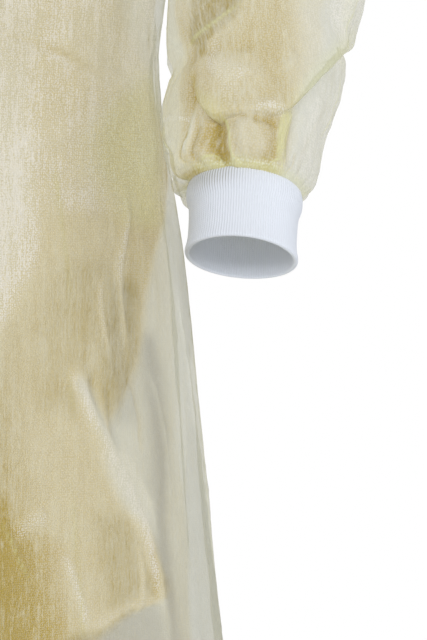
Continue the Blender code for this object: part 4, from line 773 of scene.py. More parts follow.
def body_surface(face, u, row):
    """(points, fields) of a panel. row goes from 0 at the hem to 1 at the underarm and 2 at the top
    edge. The outward moves are added along the level radius below the underarm, as on the solids, and
    along the surface's normal above it, where they fade towards the seams. The fields are how double
    the cloth looks; how hollow, 1 in the golden depths of folds, which are partly painted shade, and -1
    where it hangs free; and the painted light, 1 in a painted sheen and -1 in painted shade."""
    height = -GOWN_LENGTH + (GOWN_LENGTH + UNDERARM) * np.clip(row, 0, 1)
    v = np.clip(row - 1, 0, 1)
    points = np.where((row > 1)[..., None], upper_body(face, u, v), body_ring(face, u, height))
    degrees = 90.0 * u if face == "front" else 180.0 - 90.0 * u
    level = height + CHEST * v
    around = np.radians(degrees) * BODY_RADIUS
    drawn, colours = line_relief(BODY_LINES, degrees, level, BODY_RADIUS)
    settings = bpy.context.scene.gown_cloth
    rough = settings.crumple * (2.0 * crumple(around, level, 11, 0.075) + crumple(around, level, 12, 0.026)
                                + 0.5 * crumple(around, level, 13, 0.010))
    edge, top = ease(0.0, 0.030, 1 - np.abs(u)), ease(0.0, 0.25, 2 - row)
    # Each side seam is a shallow channel with small puckers where it is sewn.
    off = np.radians(np.abs(np.abs(turned(degrees)) - 90.0)) * BODY_RADIUS
    pucker = 0.6 + 0.4 * np.sin(level * 2 * math.pi / 0.013) * bell(off, 0.004)
    seam = -0.0009 * bell(off, 0.0016) * pucker * (row < 1.0)
    draped = drape(degrees, height) * (row <= 1) + waist_gathers(degrees, level) * (row < 1.15) * edge
    relief = draped + (drawn + rough) * top * edge + seam
    add_zones(BODY_ZONES, turned(degrees), level, colours)
    sides = {FREE: np.zeros(degrees.shape)}
    add_zones(BODY_SIDES, np.abs(turned(degrees)), level, sides)
    # The free sides are fainter towards the hem and on the right.
    fainter = (1 - 0.5 * ease(0.860, 1.060, -level)) * np.where(turned(degrees) > 0, 1.0, 0.7)
    colours[FREE] = np.maximum(colours[FREE], sides[FREE] * fainter)
    patchy = 1 + 0.16 * crumple(4.0 * around, level, 14, 0.05)
    close = CLOSE_DEEP * (1 - 1.6 * ease(-0.500, -0.340, level)) * (1 - colours[FREE])
    # Painted shade from the relief: troughs darker and more golden, ridges paler, less where the cloth
    # hangs free.
    painted_relief_shade = np.tanh((0.35 * draped + 0.6 * drawn + 0.4 * rough) / 0.0034)
    hollow_and_shade = (close + colours[GOLD_AND_SHADE] - colours[FREE] * patchy
              - 0.5 * painted_relief_shade * (1 - 0.6 * colours[FREE]))
    double = np.maximum(colours[DOUBLE], 0.5 * bell(off, 0.0022) * (row < 1.0))
    # Painted light: painted sheen lightens the colour, painted shade darkens it, and the free sides get
    # some painted shade.
    painted_light = colours[PAINTED_SHEEN] - colours[PAINTED_SHADE] - SIDE_PAINTED_SHADE * colours[FREE]
    fields = {"double": double, "hollow_and_shade": hollow_and_shade, "painted_light": painted_light}
    radial = unit(points * (1.0, 1.0, 0.0))
    across = facing(normals_of(points), radial)
    blend = ease(0.98, 1.04, row)[..., None]
    points = points + unit(radial * (1 - blend) + across * blend) * relief[..., None]
    return points, fields


def row_steps(*spans):
    """Values of a grid's parameter: spans are (start, end, count), each without its end."""
    pieces = [np.linspace(start, end, count, endpoint=False) for start, end, count in spans]
    return np.append(np.concatenate(pieces), spans[-1][1])


def at_height(height):
    """A panel's row at a height below the underarm."""
    return (height + GOWN_LENGTH) / (GOWN_LENGTH + UNDERARM)


def lap_edge(row):
    """u of a back panel's own edge, which runs past the centre back, at each row."""
    height = np.where(row <= 1, -GOWN_LENGTH + (GOWN_LENGTH + UNDERARM) * row,
                      UNDERARM + (NECK_BACK[2] - UNDERARM) * (row - 1))
    share = table(LAP_SECTIONS, 1, height) / table(BODY_SECTIONS, HALF_WIDTH, height)
    return -np.arcsin(share) / (0.5 * math.pi)


def lap_move(side, u, row):
    """How far the under panel lies inside the smooth form."""
    if side != UNDER_SIDE:
        return np.zeros_like(u)
    fade = 1 - ease(LAP_FADES_FROM, 1.0, row - 1)
    return -LAP_DEPTH * fade * (1 - ease(LAP_FROM, LAP_TO, np.abs(u)))


def back_surface(side, u, row):
    """A back panel's points and fields, with its lap."""
    points, fields = body_surface("back", u, row)
    outward = facing(normals_of(points), (0, 1, 0))
    return points + outward * lap_move(side, u, row)[..., None], fields


# ---------------------------------------------------------------- the sleeves' surface
def arm_path(along):
    """The arm's line, straight from cuff to elbow and from elbow to shoulder."""
    along = along[..., None]
    return np.where(along < FOREARM, ARM_CUFF + unit(ARM_ELBOW - ARM_CUFF) * along,
                    ARM_ELBOW + unit(ARM_SHOULDER - ARM_ELBOW) * (along - FOREARM))


def arm_centre(along):
    """The same with its elbow rounded: a mean over a short stretch."""
    return 0.25 * (arm_path(along - ELBOW_ROUND) + 2 * arm_path(along) + arm_path(along + ELBOW_ROUND))


def arm_frame(along):
    """Unit vectors at a point of the arm: outwards from the body, to the front, and up the arm."""
    up = unit(arm_centre(along + FRAME_STEP) - arm_centre(along - FRAME_STEP))
    side = unit(np.array([1.0, 0.0, 0.0]) - up * up[..., :1])
    front = np.cross(side, up)
    twist = (WRIST_TWIST * (1 - ease(TWIST_TO, TWIST_FROM, along)))[..., None]
    return side * np.cos(twist) - front * np.sin(twist), front * np.cos(twist) + side * np.sin(twist), up


def sleeve_ring(along, degrees, relief=0.0, hang=0.0):
    """Four quarter ellipses round the arm's line, with each point moved out and down."""
    turn = np.radians(degrees)
    wide = np.where(np.cos(turn) > 0, *(table(SLEEVE_SECTIONS, k, along) for k in (OUTER, INNER))) + relief
    deep = np.where(np.sin(turn) > 0, *(table(SLEEVE_SECTIONS, k, along) for k in (FRONT, BACK))) + relief
    side, front, up = arm_frame(along)
    drop = DROOP * np.clip(np.cos(np.radians(degrees - DROOP_ANGLE)), 0, 1) ** 2
    drop = drop * ease(0.0, DROOP_STARTS, along) * (1 - ease(DROOP_FROM, DROOP_TO, along)) + hang
    return (arm_centre(along) + side * (wide * np.cos(turn))[..., None]
            + front * (deep * np.sin(turn))[..., None] - up * drop[..., None])


def armhole(degrees):
    """The armhole's seam: from the shoulder point down the front panel's edge and up the back's."""
    ones = np.ones_like(degrees)
    front = upper_body("front", ones, np.clip(1 - degrees / 180.0, 0, 1))
    back = upper_body("back", ones, np.clip(degrees / 180.0 - 1, 0, 1))
    return np.where((degrees <= 180.0)[..., None], front, back)


def sleeve_surface(along, degrees, relief, hang):
    """The rings below SLEEVE_JOIN, and above it cubic curves over to the armhole."""
    whole = degrees % 360.0
    ring = sleeve_ring(np.minimum(along, SLEEVE_JOIN), degrees, relief, hang)
    join = np.full_like(along, SLEEVE_JOIN)
    start = sleeve_ring(join, degrees)
    upward = unit(start - sleeve_ring(join - 0.01, degrees))
    end = armhole(whole)
    reach = np.linalg.norm(end - start, axis=-1)[..., None]
    over, under = (np.clip(sign * np.cos(np.radians(degrees)), 0, 1) for sign in (1, -1))
    across, up = (plain + of_over * over + of_under * under
                  for plain, of_over, of_under in zip(ARRIVE_ARMHOLE, OVER_ARM, UNDER_ARM))
    inward = unit(np.stack([across, np.zeros_like(across), up], axis=-1))
    share = np.clip((along - SLEEVE_JOIN) / (SLEEVE_TOP - SLEEVE_JOIN), 0, 1)
    bent = cubic(start, end, upward * reach, inward * reach, share[..., None])
    return np.where((along > SLEEVE_JOIN)[..., None], bent, ring)


def broad_folds(folds, degrees, along):
    """The sleeve's broad folds: bells across, faded at both ends."""
    total = np.zeros(degrees.shape)
    for fold in folds:
        length = fold.high - fold.low
        window = (ease(0.0, SLEEVE_FADE_LOW * length, along - fold.low)
                  * ease(0.0, SLEEVE_FADE_HIGH * length, fold.high - along))
        off = turned(degrees - fold.angle - fold.lean * (along - fold.low))
        total += fold.depth * bell(off, fold.width) * window
    return total


def lip_of(lip, degrees):
    """The lip's line, how far it stands out and how far it hangs, at each angle."""
    at = (degrees + 110.0) % 360.0 - 110.0
    return [table(lip, column, at) for column in (1, 2, 3)]


def lip_relief(lip, degrees, along):
    """(out, down): out above the line and fading up the sleeve, tucked in just below it; down is most
    on the line itself, so that the cloth folds back under it."""
    line, out, hang = lip_of(lip, degrees)
    above = along - line
    stand = np.exp(-np.clip(above, 0, None) / LIP_ABOVE) * ease(-0.5 * LIP_BELOW, 0.35 * LIP_BELOW, above)
    tuck = bell(above + 0.9 * LIP_BELOW, LIP_BELOW)
    drop = np.where(above > 0, bell(above, LIP_HANG_ABOVE), bell(above, LIP_HANG_BELOW))
    return out * (stand - LIP_HOLLOW * tuck), hang * drop


def gathers(degrees, along, count, depth, seed):
    """Puffs between pinched valleys, abs(sin) to a power under 1, unevenly spaced by slow waves. Finer
    ones sit in the seam itself and broader ones reach up the sleeve."""
    draw = np.random.default_rng(seed)
    turn = np.radians(degrees)
    total = np.zeros(degrees.shape)
    for share, size, low, high in ((1.0, 0.40, 0.006, 0.015), (0.5, 0.75, 0.013, 0.030),
                                   (0.25, 0.70, 0.026, 0.060)):
        number = round(count * share)
        a, b, c, d = draw.uniform(0, 2 * math.pi, 4)
        phase = 0.5 * number * turn + 1.1 * np.sin(2 * turn + a) + 0.8 * np.sin(5 * turn + b)
        form = (np.sin(phase) ** 2 + 0.004) ** 0.33 - 0.62
        uneven = 0.75 + 0.45 * np.sin(3 * turn + c) * np.cos(4 * turn + d)
        total += size * uneven * form * (1 - ease(low, high, along * (1 + 0.35 * np.sin(7 * turn + c))))
    return depth * total * ease(-0.0012, 0.0045, along)


# ---------------------------------------------------------------- meshes
def grid_object(name, points, cloth_uv, material, fields=None, wrap=False, inside_out=False):
    """Rows and columns of points as quads. wrap joins the last column to the first, and then the
    cloth's own map has one column more than the points. fields become attributes that the cloth's
    colour reads."""
    rows, columns = points.shape[:2]
    index = np.arange(rows * columns).reshape(rows, columns)
    if wrap:
        index = np.concatenate([index, index[:, :1]], axis=1)
    corner = np.arange(index.size).reshape(index.shape)
    quads, corners = (np.stack([k[:-1, :-1], k[1:, :-1], k[1:, 1:], k[:-1, 1:]], axis=-1).reshape(-1, 4)
                      for k in (index, corner))
    if inside_out:
        quads, corners = quads[:, ::-1], corners[:, ::-1]
    mesh = bpy.data.meshes.new(name)
    mesh.vertices.add(rows * columns)
    mesh.vertices.foreach_set("co", points.astype(np.float32).ravel())
    mesh.loops.add(quads.size)
    mesh.loops.foreach_set("vertex_index", quads.astype(np.int32).ravel())
    mesh.polygons.add(len(quads))
    mesh.polygons.foreach_set("loop_start", np.arange(0, quads.size, 4, dtype=np.int32))
    mesh.update(calc_edges=True)
    uv = mesh.uv_layers.new(name="cloth")
    uv.data.foreach_set("uv", cloth_uv.reshape(-1, 2)[corners.ravel()].astype(np.float32).ravel())
    for field, values in (fields or {}).items():
        attribute = mesh.attributes.new(field, "FLOAT", "POINT")
        attribute.data.foreach_set("value", np.clip(values, -1, 1).astype(np.float32).ravel())
    return placed(mesh, material)


def placed(mesh, material):
    """Gives a mesh its material and smooth shading, and puts it in the scene."""
    mesh.shade_smooth()
    mesh.materials.append(material)
    piece = bpy.data.objects.new(mesh.name, mesh)
    bpy.context.scene.collection.objects.link(piece)
    return piece


def cloth_map(points, zero_column):
    """The cloth's own map in metres: across is the length along each row from one column, and up is
    the rows' mean distance."""
    across = np.linalg.norm(np.diff(points, axis=1), axis=-1)
    across = np.concatenate([np.zeros((len(points), 1)), np.cumsum(across, axis=1)], axis=1)
    across = across - across[:, zero_column:zero_column + 1]
    up = np.append(0, np.cumsum(np.linalg.norm(np.diff(points, axis=0), axis=-1).mean(axis=1)))
    return np.stack([across, np.broadcast_to(up[:, None], across.shape)], axis=-1)


def settle(piece, node):
    """The piece stands for the node of its name and rides on the gown: the solid of that name is hidden."""
    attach(piece, "root")
    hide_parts(node)
    return piece


# ---------------------------------------------------------------- materials
def add_node(material, kind, inputs=(), **settings):
    """Adds a node to a material, or to the world, with its own settings. inputs maps a socket's name or
    number to a number, a colour or the output that it is linked from."""
    tree = material.node_tree
    made = tree.nodes.new(kind)
    for name, value in settings.items():
        setattr(made, name, value)
    for name, value in dict(inputs).items():
        if isinstance(value, bpy.types.NodeSocket):
            tree.links.new(value, made.inputs[name])
        else:
            made.inputs[name].default_value = value
    return made


def calculate(material, operation, *values, clamp=False):
    """The output of a Math node on numbers and outputs."""
    return add_node(material, "ShaderNodeMath", enumerate(values), operation=operation,
                    use_clamp=clamp).outputs[0]


def ranged(material, value, from_min=0.0, from_max=1.0, to_min=0.0, to_max=1.0):
    """The output of a Map Range node, which keeps within its range."""
    return add_node(material, "ShaderNodeMapRange",
                    {"Value": value, "From Min": from_min, "From Max": from_max, "To Min": to_min,
                     "To Max": to_max}).outputs[0]


def noise(material, vector, scale, detail=2.0, rough=0.5, dimensions="2D"):
    """The outputs of a Noise Texture."""
    return add_node(material, "ShaderNodeTexNoise",
                    {"Vector": vector, "Scale": scale, "Detail": detail, "Roughness": rough},
                    noise_dimensions=dimensions).outputs


def stretched(material, vector, share, lean=0.0):
    """Coordinates in which a texture is drawn out upwards, leaning by some degrees."""
    return add_node(material, "ShaderNodeMapping",
                    {"Vector": vector, "Rotation": (0, 0, math.radians(lean)),
                     "Scale": (1.0, share, 1.0)}).outputs["Vector"]


def mixed(material, factor, first, second):
    """The output of a Mix node on two colours."""
    return add_node(material, "ShaderNodeMix", {"Factor": factor, "A": first, "B": second},
                    data_type="RGBA").outputs["Result"]


def bumped(material, height, strength, distance):
    """The normal of a Bump node."""
    return add_node(material, "ShaderNodeBump",
                    {"Height": height, "Strength": strength, "Distance": distance}).outputs[0]


def new_material(name):
    material = bpy.data.materials.get(name)
    if material is not None:
        return material, False
    material = bpy.data.materials.new(name)
    material.use_nodes = True
    material.node_tree.nodes.clear()
    return material, True


def spunbond(name, opacity):
    """Spunbond polypropylene, point bonded between heated rollers: fine endless filaments in a soft
    lengthwise streak, melted together at small points in rows. The eye gets a pale, dry, see-through
    cloth, cloudy where filaments lie closer, yellow where it lies double, with small painted glints, and
    painted sheen and painted shade from its attributes."""
    material, fresh = new_material(name)
    if not fresh:
        return material
    settings = bpy.context.scene.gown_cloth
    cloth = add_node(material, "ShaderNodeUVMap", uv_map="cloth").outputs["UV"]
    # The bonds: real ones are 0.6 mm wide, in rows 1 mm apart.
    bonds = add_node(material, "ShaderNodeTexVoronoi",
                     {"Vector": cloth, "Scale": 1 / settings.bond_pitch, "Randomness": 0.60},
                     voronoi_dimensions="2D")
    bond = ranged(material, bonds.outputs["Distance"], 0.48, 0.10)
    # Filaments: streaks drawn out along the cloth, with a slow wander. Real ones are 0.02 mm; these
    # are the streaks of many that the eye sees.
    wander = noise(material, cloth, 22.0, detail=1.0)["Color"]
    bent = add_node(material, "ShaderNodeVectorMath", {0: wander, 1: (0.003, 0.003, 0.0), 2: cloth},
                    operation="MULTIPLY_ADD").outputs["Vector"]
    streaks = []
    for lean, length in ((1.0, 9.0), (-24.0, 3.0), (28.0, 3.0)):
        laid = stretched(material, bent, 1.0 / length, lean)
        streaks.append(noise(material, laid, 1 / (2.0 * settings.filament), rough=0.6)["Fac"])
    # Broad ones, where the cloth is drawn out lengthwise.
    drawn = noise(material, stretched(material, bent, 0.06), 1 / (9.0 * settings.filament))["Fac"]
    crossed = calculate(material, "MAXIMUM", streaks[1], streaks[2])
    crossed = calculate(material, "MULTIPLY_ADD", drawn, 0.7, crossed)
    filaments = calculate(material, "MULTIPLY_ADD", streaks[0], 1.1, crossed)
    # Clouds: filaments laid unevenly, over 5 to 30 mm.
    clouds = noise(material, cloth, 45.0)["Fac"]
    dense = ranged(material, calculate(material, "MULTIPLY_ADD", clouds, 0.7, filaments), 1.42, 2.20)
    hollow_and_shade, double, painted_light = (add_node(material, "ShaderNodeAttribute", attribute_name=field).outputs["Fac"]
                              for field in ("hollow_and_shade", "double", "painted_light"))
    # Pale where the cloth hangs free, mid, and golden in the depths of the folds, darkened there as painted
    # shade.
    gain = calculate(material, "MULTIPLY_ADD", dense, 0.44, 0.28)
    level = calculate(material, "MULTIPLY_ADD", dense, 0.21, 0.41)
    depth = calculate(material, "MULTIPLY_ADD", hollow_and_shade, gain, level, clamp=True)
    # Painted glints on the bonds and the filaments between them, stronger in a painted sheen, and painted
    # shade that dims the colour.
    painted_glint = calculate(material, "MULTIPLY_ADD", bond, 0.36, -0.17)
    painted_glint = calculate(material, "MULTIPLY_ADD", dense, 0.42, painted_glint, clamp=True)
    painted_light_gain = ranged(material, painted_light, -0.22, 1.0, 0.0, 5.0)
    painted_glint = calculate(material, "MULTIPLY", painted_glint, painted_light_gain, clamp=True)
    painted_shade_share = ranged(material, painted_light, 0.0, -1.0, 0.0, 0.8)
    folded = calculate(material, "MULTIPLY_ADD", dense, 0.35, 0.65)
    folded = calculate(material, "MULTIPLY", folded, double, clamp=True)
    shade = settings.pale
    for factor, colour in ((ranged(material, depth, 0.0, 0.5), settings.colour),
                           (ranged(material, depth, 0.5, 1.0), settings.deep), (painted_glint, settings.painted_sheen),
                           (painted_shade_share, settings.shade), (folded, settings.double)):
        shade = mixed(material, factor, shade, colour)
    # Height in metres: bonds are pressed in, streaks stand up.
    bump = bumped(material, calculate(material, "MULTIPLY_ADD", bond, -0.9, filaments), 0.7, 0.00018)
    front = add_node(material, "ShaderNodeBsdfPrincipled",
                     {"Base Color": shade, "Roughness": ranged(material, bond, to_min=0.62, to_max=0.36),
                      "IOR": 1.49, "Sheen Weight": 0.30, "Sheen Roughness": 0.45, "Normal": bump})
    through = add_node(material, "ShaderNodeBsdfTranslucent", {"Color": shade, "Normal": bump})
    body = add_node(material, "ShaderNodeMixShader", {0: 0.45, 1: front.outputs[0], 2: through.outputs[0]})
    # More is covered where the cloth is deep, dense, in painted shade or double.
    cover = ranged(material, depth, to_min=opacity - 0.14, to_max=opacity + 0.34)
    for field, share in ((dense, 0.05), (painted_shade_share, 0.30), (folded, 0.40)):
        cover = calculate(material, "MULTIPLY_ADD", field, share, cover, clamp=True)
    clear = add_node(material, "ShaderNodeBsdfTransparent")
    seen = add_node(material, "ShaderNodeMixShader", {0: cover, 1: clear.outputs[0], 2: body.outputs[0]})
    add_node(material, "ShaderNodeOutputMaterial", {"Surface": seen.outputs[0]})
    return material


def rib_knit():
    """Rib knit of bulked white polyester and cotton, folded double: rounded columns of V stitches. The
    eye gets a matt, faintly cool white, with soft shade between the ribs and on the inner side painted into
    its colour."""
    material, fresh = new_material("White rib knit")
    if not fresh:
        return material
    settings = bpy.context.scene.gown_cuffs
    cloth = add_node(material, "ShaderNodeUVMap", uv_map="cloth").outputs["UV"]
    # Courses: one wave for each row of stitches, bent into a V by the rib (the map counts ribs across).
    parts = add_node(material, "ShaderNodeSeparateXYZ", {0: cloth})
    ribs = calculate(material, "PINGPONG", parts.outputs["X"], 1.0)
    slant = calculate(material, "MULTIPLY_ADD", ribs, 0.0009, parts.outputs["Y"])
    turns = calculate(material, "MULTIPLY", slant, 2 * math.pi / settings.course)
    course = calculate(material, "SINE", turns)
    point = add_node(material, "ShaderNodeTexCoord").outputs["Object"]
    fuzz = noise(material, point, 2600.0, dimensions="3D")["Fac"]
    bump = bumped(material, calculate(material, "MULTIPLY_ADD", course, 0.5, fuzz), 0.5, 0.00010)
    # Painted shade: the attribute mixes in a grey between the ribs, on the cuff's inner side and towards
    # its front.
    painted_knit_shade = add_node(material, "ShaderNodeAttribute", attribute_name="hollow_and_shade").outputs["Fac"]
    shader = add_node(material, "ShaderNodeBsdfPrincipled",
                      {"Base Color": mixed(material, painted_knit_shade, settings.colour, linear("A8A8A2")),
                       "Roughness": 0.92, "Sheen Weight": 0.25, "Sheen Roughness": 0.5, "Normal": bump})
    add_node(material, "ShaderNodeOutputMaterial", {"Surface": shader.outputs[0]})
    return material


def sewing_thread():
    """Spun polyester thread: two plies twisted together, matt, a shade paler than the cloth."""
    material, fresh = new_material("Spun polyester thread")
    if not fresh:
        return material
    point = add_node(material, "ShaderNodeTexCoord").outputs["Object"]
    plies = add_node(material, "ShaderNodeTexWave", {"Vector": point, "Scale": 900.0, "Distortion": 1.5},
                     bands_direction="DIAGONAL")
    shader = add_node(material, "ShaderNodeBsdfPrincipled",
                      {"Base Color": bpy.context.scene.gown_trims.thread, "Roughness": 0.7,
                       "Sheen Weight": 0.2, "Normal": bumped(material, plies.outputs["Fac"], 0.5, 0.00006)})
    add_node(material, "ShaderNodeOutputMaterial", {"Surface": shader.outputs[0]})
    return material


def body_cloth():
    return spunbond("Yellow spunbond polypropylene", CLOTH_COVER)


def binding_cloth():
    """The same cloth folded in layers, so that less is seen through it."""
    return spunbond("Folded spunbond binding", BINDING_COVER)


# ---------------------------------------------------------------- the pieces
class GOWN_OT_panels(Operator):
    """Add the front and the two back panels, draped from the shoulders to the open hem"""
    bl_idname = "gown.panels"
    bl_label = "Body Panels"

    def execute(self, context):
        cloth = body_cloth()
        rows = row_steps((0.0, at_height(-0.860), 52), (at_height(-0.860), at_height(-0.500), 150),
                         (at_height(-0.500), 1.0, 52), (1.0, 2.0, 42))
        columns = row_steps((-1.0, -NECK_SHARE, 56), (-NECK_SHARE, NECK_SHARE, 64),
                            (NECK_SHARE, 1.0, 118))
        row, u = np.meshgrid(rows, columns, indexing="ij")
        points, fields = body_surface("front", u, row)
        piece = grid_object("front_cloth", points, cloth_map(points, 88), cloth, fields)
        settle(piece, "front_panel")
        rows = row_steps((0.0, at_height(-0.500), 110), (at_height(-0.500), 1.0, 56), (1.0, 2.0, 42))
        for name, side in (("left", 1), ("right", -1)):
            share = row_steps((0.0, 1.0, 60), (1.0, 2.0, 50))
            row, share = np.meshgrid(rows, share, indexing="ij")
            u = np.where(share < 1, 1 + (NECK_SHARE - 1) * share,
                         NECK_SHARE + (lap_edge(row) - NECK_SHARE) * (share - 1)) * side
            points, fields = back_surface(side, u, row)
            piece = grid_object(f"back_cloth_{name}", points, cloth_map(points, 60), cloth, fields,
                                inside_out=side < 0)
            settle(piece, f"back_panel_{name}")
        return {"FINISHED"}


class GOWN_OT_sleeves(Operator):
    """Add the two sleeves, bloused over the cuffs and gathered into them"""
    bl_idname = "gown.sleeves"
    bl_label = "Sleeves"

    def execute(self, context):
        cloth, settings = body_cloth(), context.scene.gown_cloth
        for name, side, folds, lip, lines, columns, fine, seed in (
                ("left", 1, LEFT_FOLDS, LEFT_LIP, LEFT_LINES, 400, 1.0, 5),
                ("right", -1, RIGHT_FOLDS, RIGHT_LIP, RIGHT_LINES, 240, 0.6, 6)):
            # Columns run from the seam under the arm and are closer together on the front; rows are at
            # the cuff seam and at the lip.
            even = np.linspace(-180.0, 180.0, columns + 1)
            degrees = even - math.degrees(CROWDING) * (np.sin(np.radians(even - 90.0)) - 1)
            below, above, upper = round(80 * fine), round(86 * fine), round(56 * fine)
            share = row_steps((0.0, 1.0, below), (1.0, 2.0, above), (2.0, 3.0, upper))
            share, degrees = np.meshgrid(share, degrees, indexing="ij")
            line = lip_of(lip, degrees)[0]
            t = np.clip(share, 0, 1)
            low = line * (t - 0.11 * np.sin(2 * math.pi * t))
            t = np.clip(share - 1, 0, 1)
            middle = line + (FINE_ROWS_END - line) * (0.45 * t + 0.55 * t ** 2)
            high = FINE_ROWS_END + (SLEEVE_TOP - FINE_ROWS_END) * np.clip(share - 2, 0, 1)
            along = np.where(share < 1, low, np.where(share < 2, middle, high))
            out, hang = lip_relief(lip, degrees, along)
            drawn, colours = line_relief(lines, degrees, along, ARM_RADIUS)
            add_zones(SLEEVE_ZONES, degrees, along, colours)
            # The seam under the arm is a shallow channel; the crumple fades there.
            off = np.radians(np.abs(turned(degrees - 180.0))) * ARM_RADIUS
            x = np.radians(turned(degrees - 90.0)) * ARM_RADIUS
            top = ease(0.0, 0.05, SLEEVE_TOP - along)
            rough = settings.crumple * ease(0.0, 0.01, off) * ease(0.0, 0.01, along) * (
                1.2 * crumple(x, along, seed + 20, 0.045) + 0.8 * crumple(x, along, seed + 21, 0.017)
                + 0.4 * crumple(x, along, seed + 22, 0.008))
            drawn_in = gathers(degrees, along, settings.gathers, settings.gather_depth, seed)
            broad = broad_folds(folds, degrees, along)
            # At the inner side the cloth lies close to the arm, so it is drawn in less there.
            drawn_in = drawn_in * (1 - 0.5 * bell(turned(degrees - 195.0), 40.0))
            relief = (broad + out + drawn + drawn_in + rough - 0.0007 * bell(off, 0.0014)) * top
            points = sleeve_surface(along, degrees, relief, hang * top)
            # Above the join the relief follows the bent surface's normal.
            outward = facing(normals_of(points), points - arm_centre(along))
            points = points + outward * ((along > SLEEVE_JOIN) * relief)[..., None]
            mean = 0.25 * sum(table(SLEEVE_SECTIONS, k, along) for k in (OUTER, FRONT, INNER, BACK))
            cloth_uv = np.stack([np.radians(degrees - 90.0) * mean, along], axis=-1)
            # The cloth lies in three layers at the lip, and is packed close at the cuff seam.
            lapped = table(LIP_DOUBLE, 1, degrees) * np.clip(hang / 0.003, 0, 1) * (
                1 - ease(0.0040, 0.0170, along - line)) * ease(-0.0026, -0.0010, along - line)
            packed = ((0.60 + 0.5 * np.clip(drawn_in / settings.gather_depth, 0, 1))
                      * bell(along - 0.0012, 0.0026) * (1 - 0.8 * bell(turned(degrees - 163.0), 14.0)))
            free = colours[FREE] * (1 - 0.55 * ease(0.140, 0.320, along))
            # Painted shade from the relief: troughs darker and more golden, ridges paler, less where the
            # cloth hangs free.
            hollow_and_shade = colours[GOLD_AND_SHADE] - free - 0.6 * np.tanh(
                (0.4 * broad + 0.8 * drawn + 0.4 * drawn_in + 0.5 * rough) / 0.0030) * (1 - 0.6 * free)
            fields = {"double": np.maximum(np.maximum(colours[DOUBLE], lapped), packed), "hollow_and_shade": hollow_and_shade,
                      "painted_light": colours[PAINTED_SHEEN] - colours[PAINTED_SHADE]}
            fields = {field: values[:, :-1] for field, values in fields.items()}
            points = points * (side, 1.0, 1.0)
            piece = grid_object(f"sleeve_cloth_{name}", points[:, :-1], cloth_uv, cloth, fields,
                                wrap=True, inside_out=side > 0)
            settle(piece, f"sleeve_{name}")
        return {"FINISHED"}


class GOWN_OT_cuffs(Operator):
    """Add the two cuffs of rib knit, folded double at their lower edge"""
    bl_idname = "gown.cuffs"
    bl_label = "Cuffs"

    def execute(self, context):
        knit, settings = rib_knit(), context.scene.gown_cuffs
        # Ribs are evenly spaced by length round the seam's ring.
        fine = np.linspace(0.0, 360.0, 1441)
        ring = sleeve_ring(np.zeros_like(fine), fine)
        length = np.append(0, np.cumsum(np.linalg.norm(np.diff(ring, axis=0), axis=1)))
        points_a_rib = 6
        count = settings.ribs * points_a_rib
        rib = np.arange(count) / points_a_rib
        degrees = np.interp(rib / settings.ribs * length[-1], length, fine)
        # Down the outside, round the fold and up the inside: distance below the seam and share.
        outside = through_points(CUFF_PROFILE, 4)
        last = outside[-1]
        turn = np.linspace(0, math.pi, 9)[1:-1]
        fold = np.stack([last[0] + (CUFF_FOLD - last[0]) * np.sin(turn),
                         last[1] - 0.5 * CUFF_INSIDE * (1 - np.cos(turn))], axis=1)
        inside = outside[::-2] * (1, 1) - (0, CUFF_INSIDE)
        inside = inside[inside[:, 0] > CUFF_TOP_INSIDE]
        profile = np.concatenate([outside, fold, inside])
        sense = np.concatenate([np.ones(len(outside)), np.cos(turn), -np.ones(len(inside))])
        below, share = profile[:, :1], profile[:, 1:]
        seam = sleeve_ring(np.zeros_like(degrees), degrees)
        centre, down = ARM_CUFF, unit(ARM_CUFF - ARM_ELBOW)
        radial = unit(seam - centre)
        # A rib is a rounded back between narrow valleys.
        ridge = np.abs(np.cos(math.pi * rib)) ** 0.75
        wave = (0.00035 * np.sin(np.radians(2 * degrees) + 1.0) * ease(0.020, CUFF_FOLD, below)
                + 0.0003 * np.sin(np.radians(3 * degrees)) * ease(0.012, 0.0, below))
        # The ribs are stretched flatter in the middle of the cuff.
        depth = settings.rib_depth * (0.72 + 0.5 * bell(below - 0.003, 0.006)
                                      + 0.15 * bell(below - 0.034, 0.004))
        sides = (sense[:, None] * depth * (ridge[None, :] - 0.7)
                 * (0.6 + 0.5 * bell(turned(degrees - 150.0), 60.0)))
        points = (centre + (seam - centre) * share[..., None] + down * (below + wave * 0.8)[..., None]
                  + radial * sides[..., None])
        # The painted shade between the ribs shows most at the top of the inner side, where they are drawn
        # together; the inner side, which faces the body, and the front get painted shade too.
        shown = 0.12 + 1.30 * bell(turned(degrees - 144.0), 28.0)[None, :] * bell(below - 0.003, 0.0055)
        painted_knit_shade = (((1 - ridge) ** 1.5 + 0.18)[None, :] * shown
                  + 0.55 * bell(turned(degrees - 184.0), 36.0)[None, :]
                  + 0.14 * bell(turned(degrees - 104.0), 36.0)[None, :])
        path = np.append(0, np.cumsum(np.abs(np.diff(below[:, 0])) + 0.02 * np.abs(np.diff(share[:, 0]))))
        across, up = np.meshgrid(np.append(rib, settings.ribs) * 2, path)
        for name, side in (("left", 1), ("right", -1)):
            piece = grid_object(f"cuff_knit_{name}", points * (side, 1.0, 1.0),
                                np.stack([across, -up], axis=-1), knit, {"hollow_and_shade": painted_knit_shade}, wrap=True,
                                inside_out=side < 0)
            settle(piece, f"cuff_{name}")
        return {"FINISHED"}


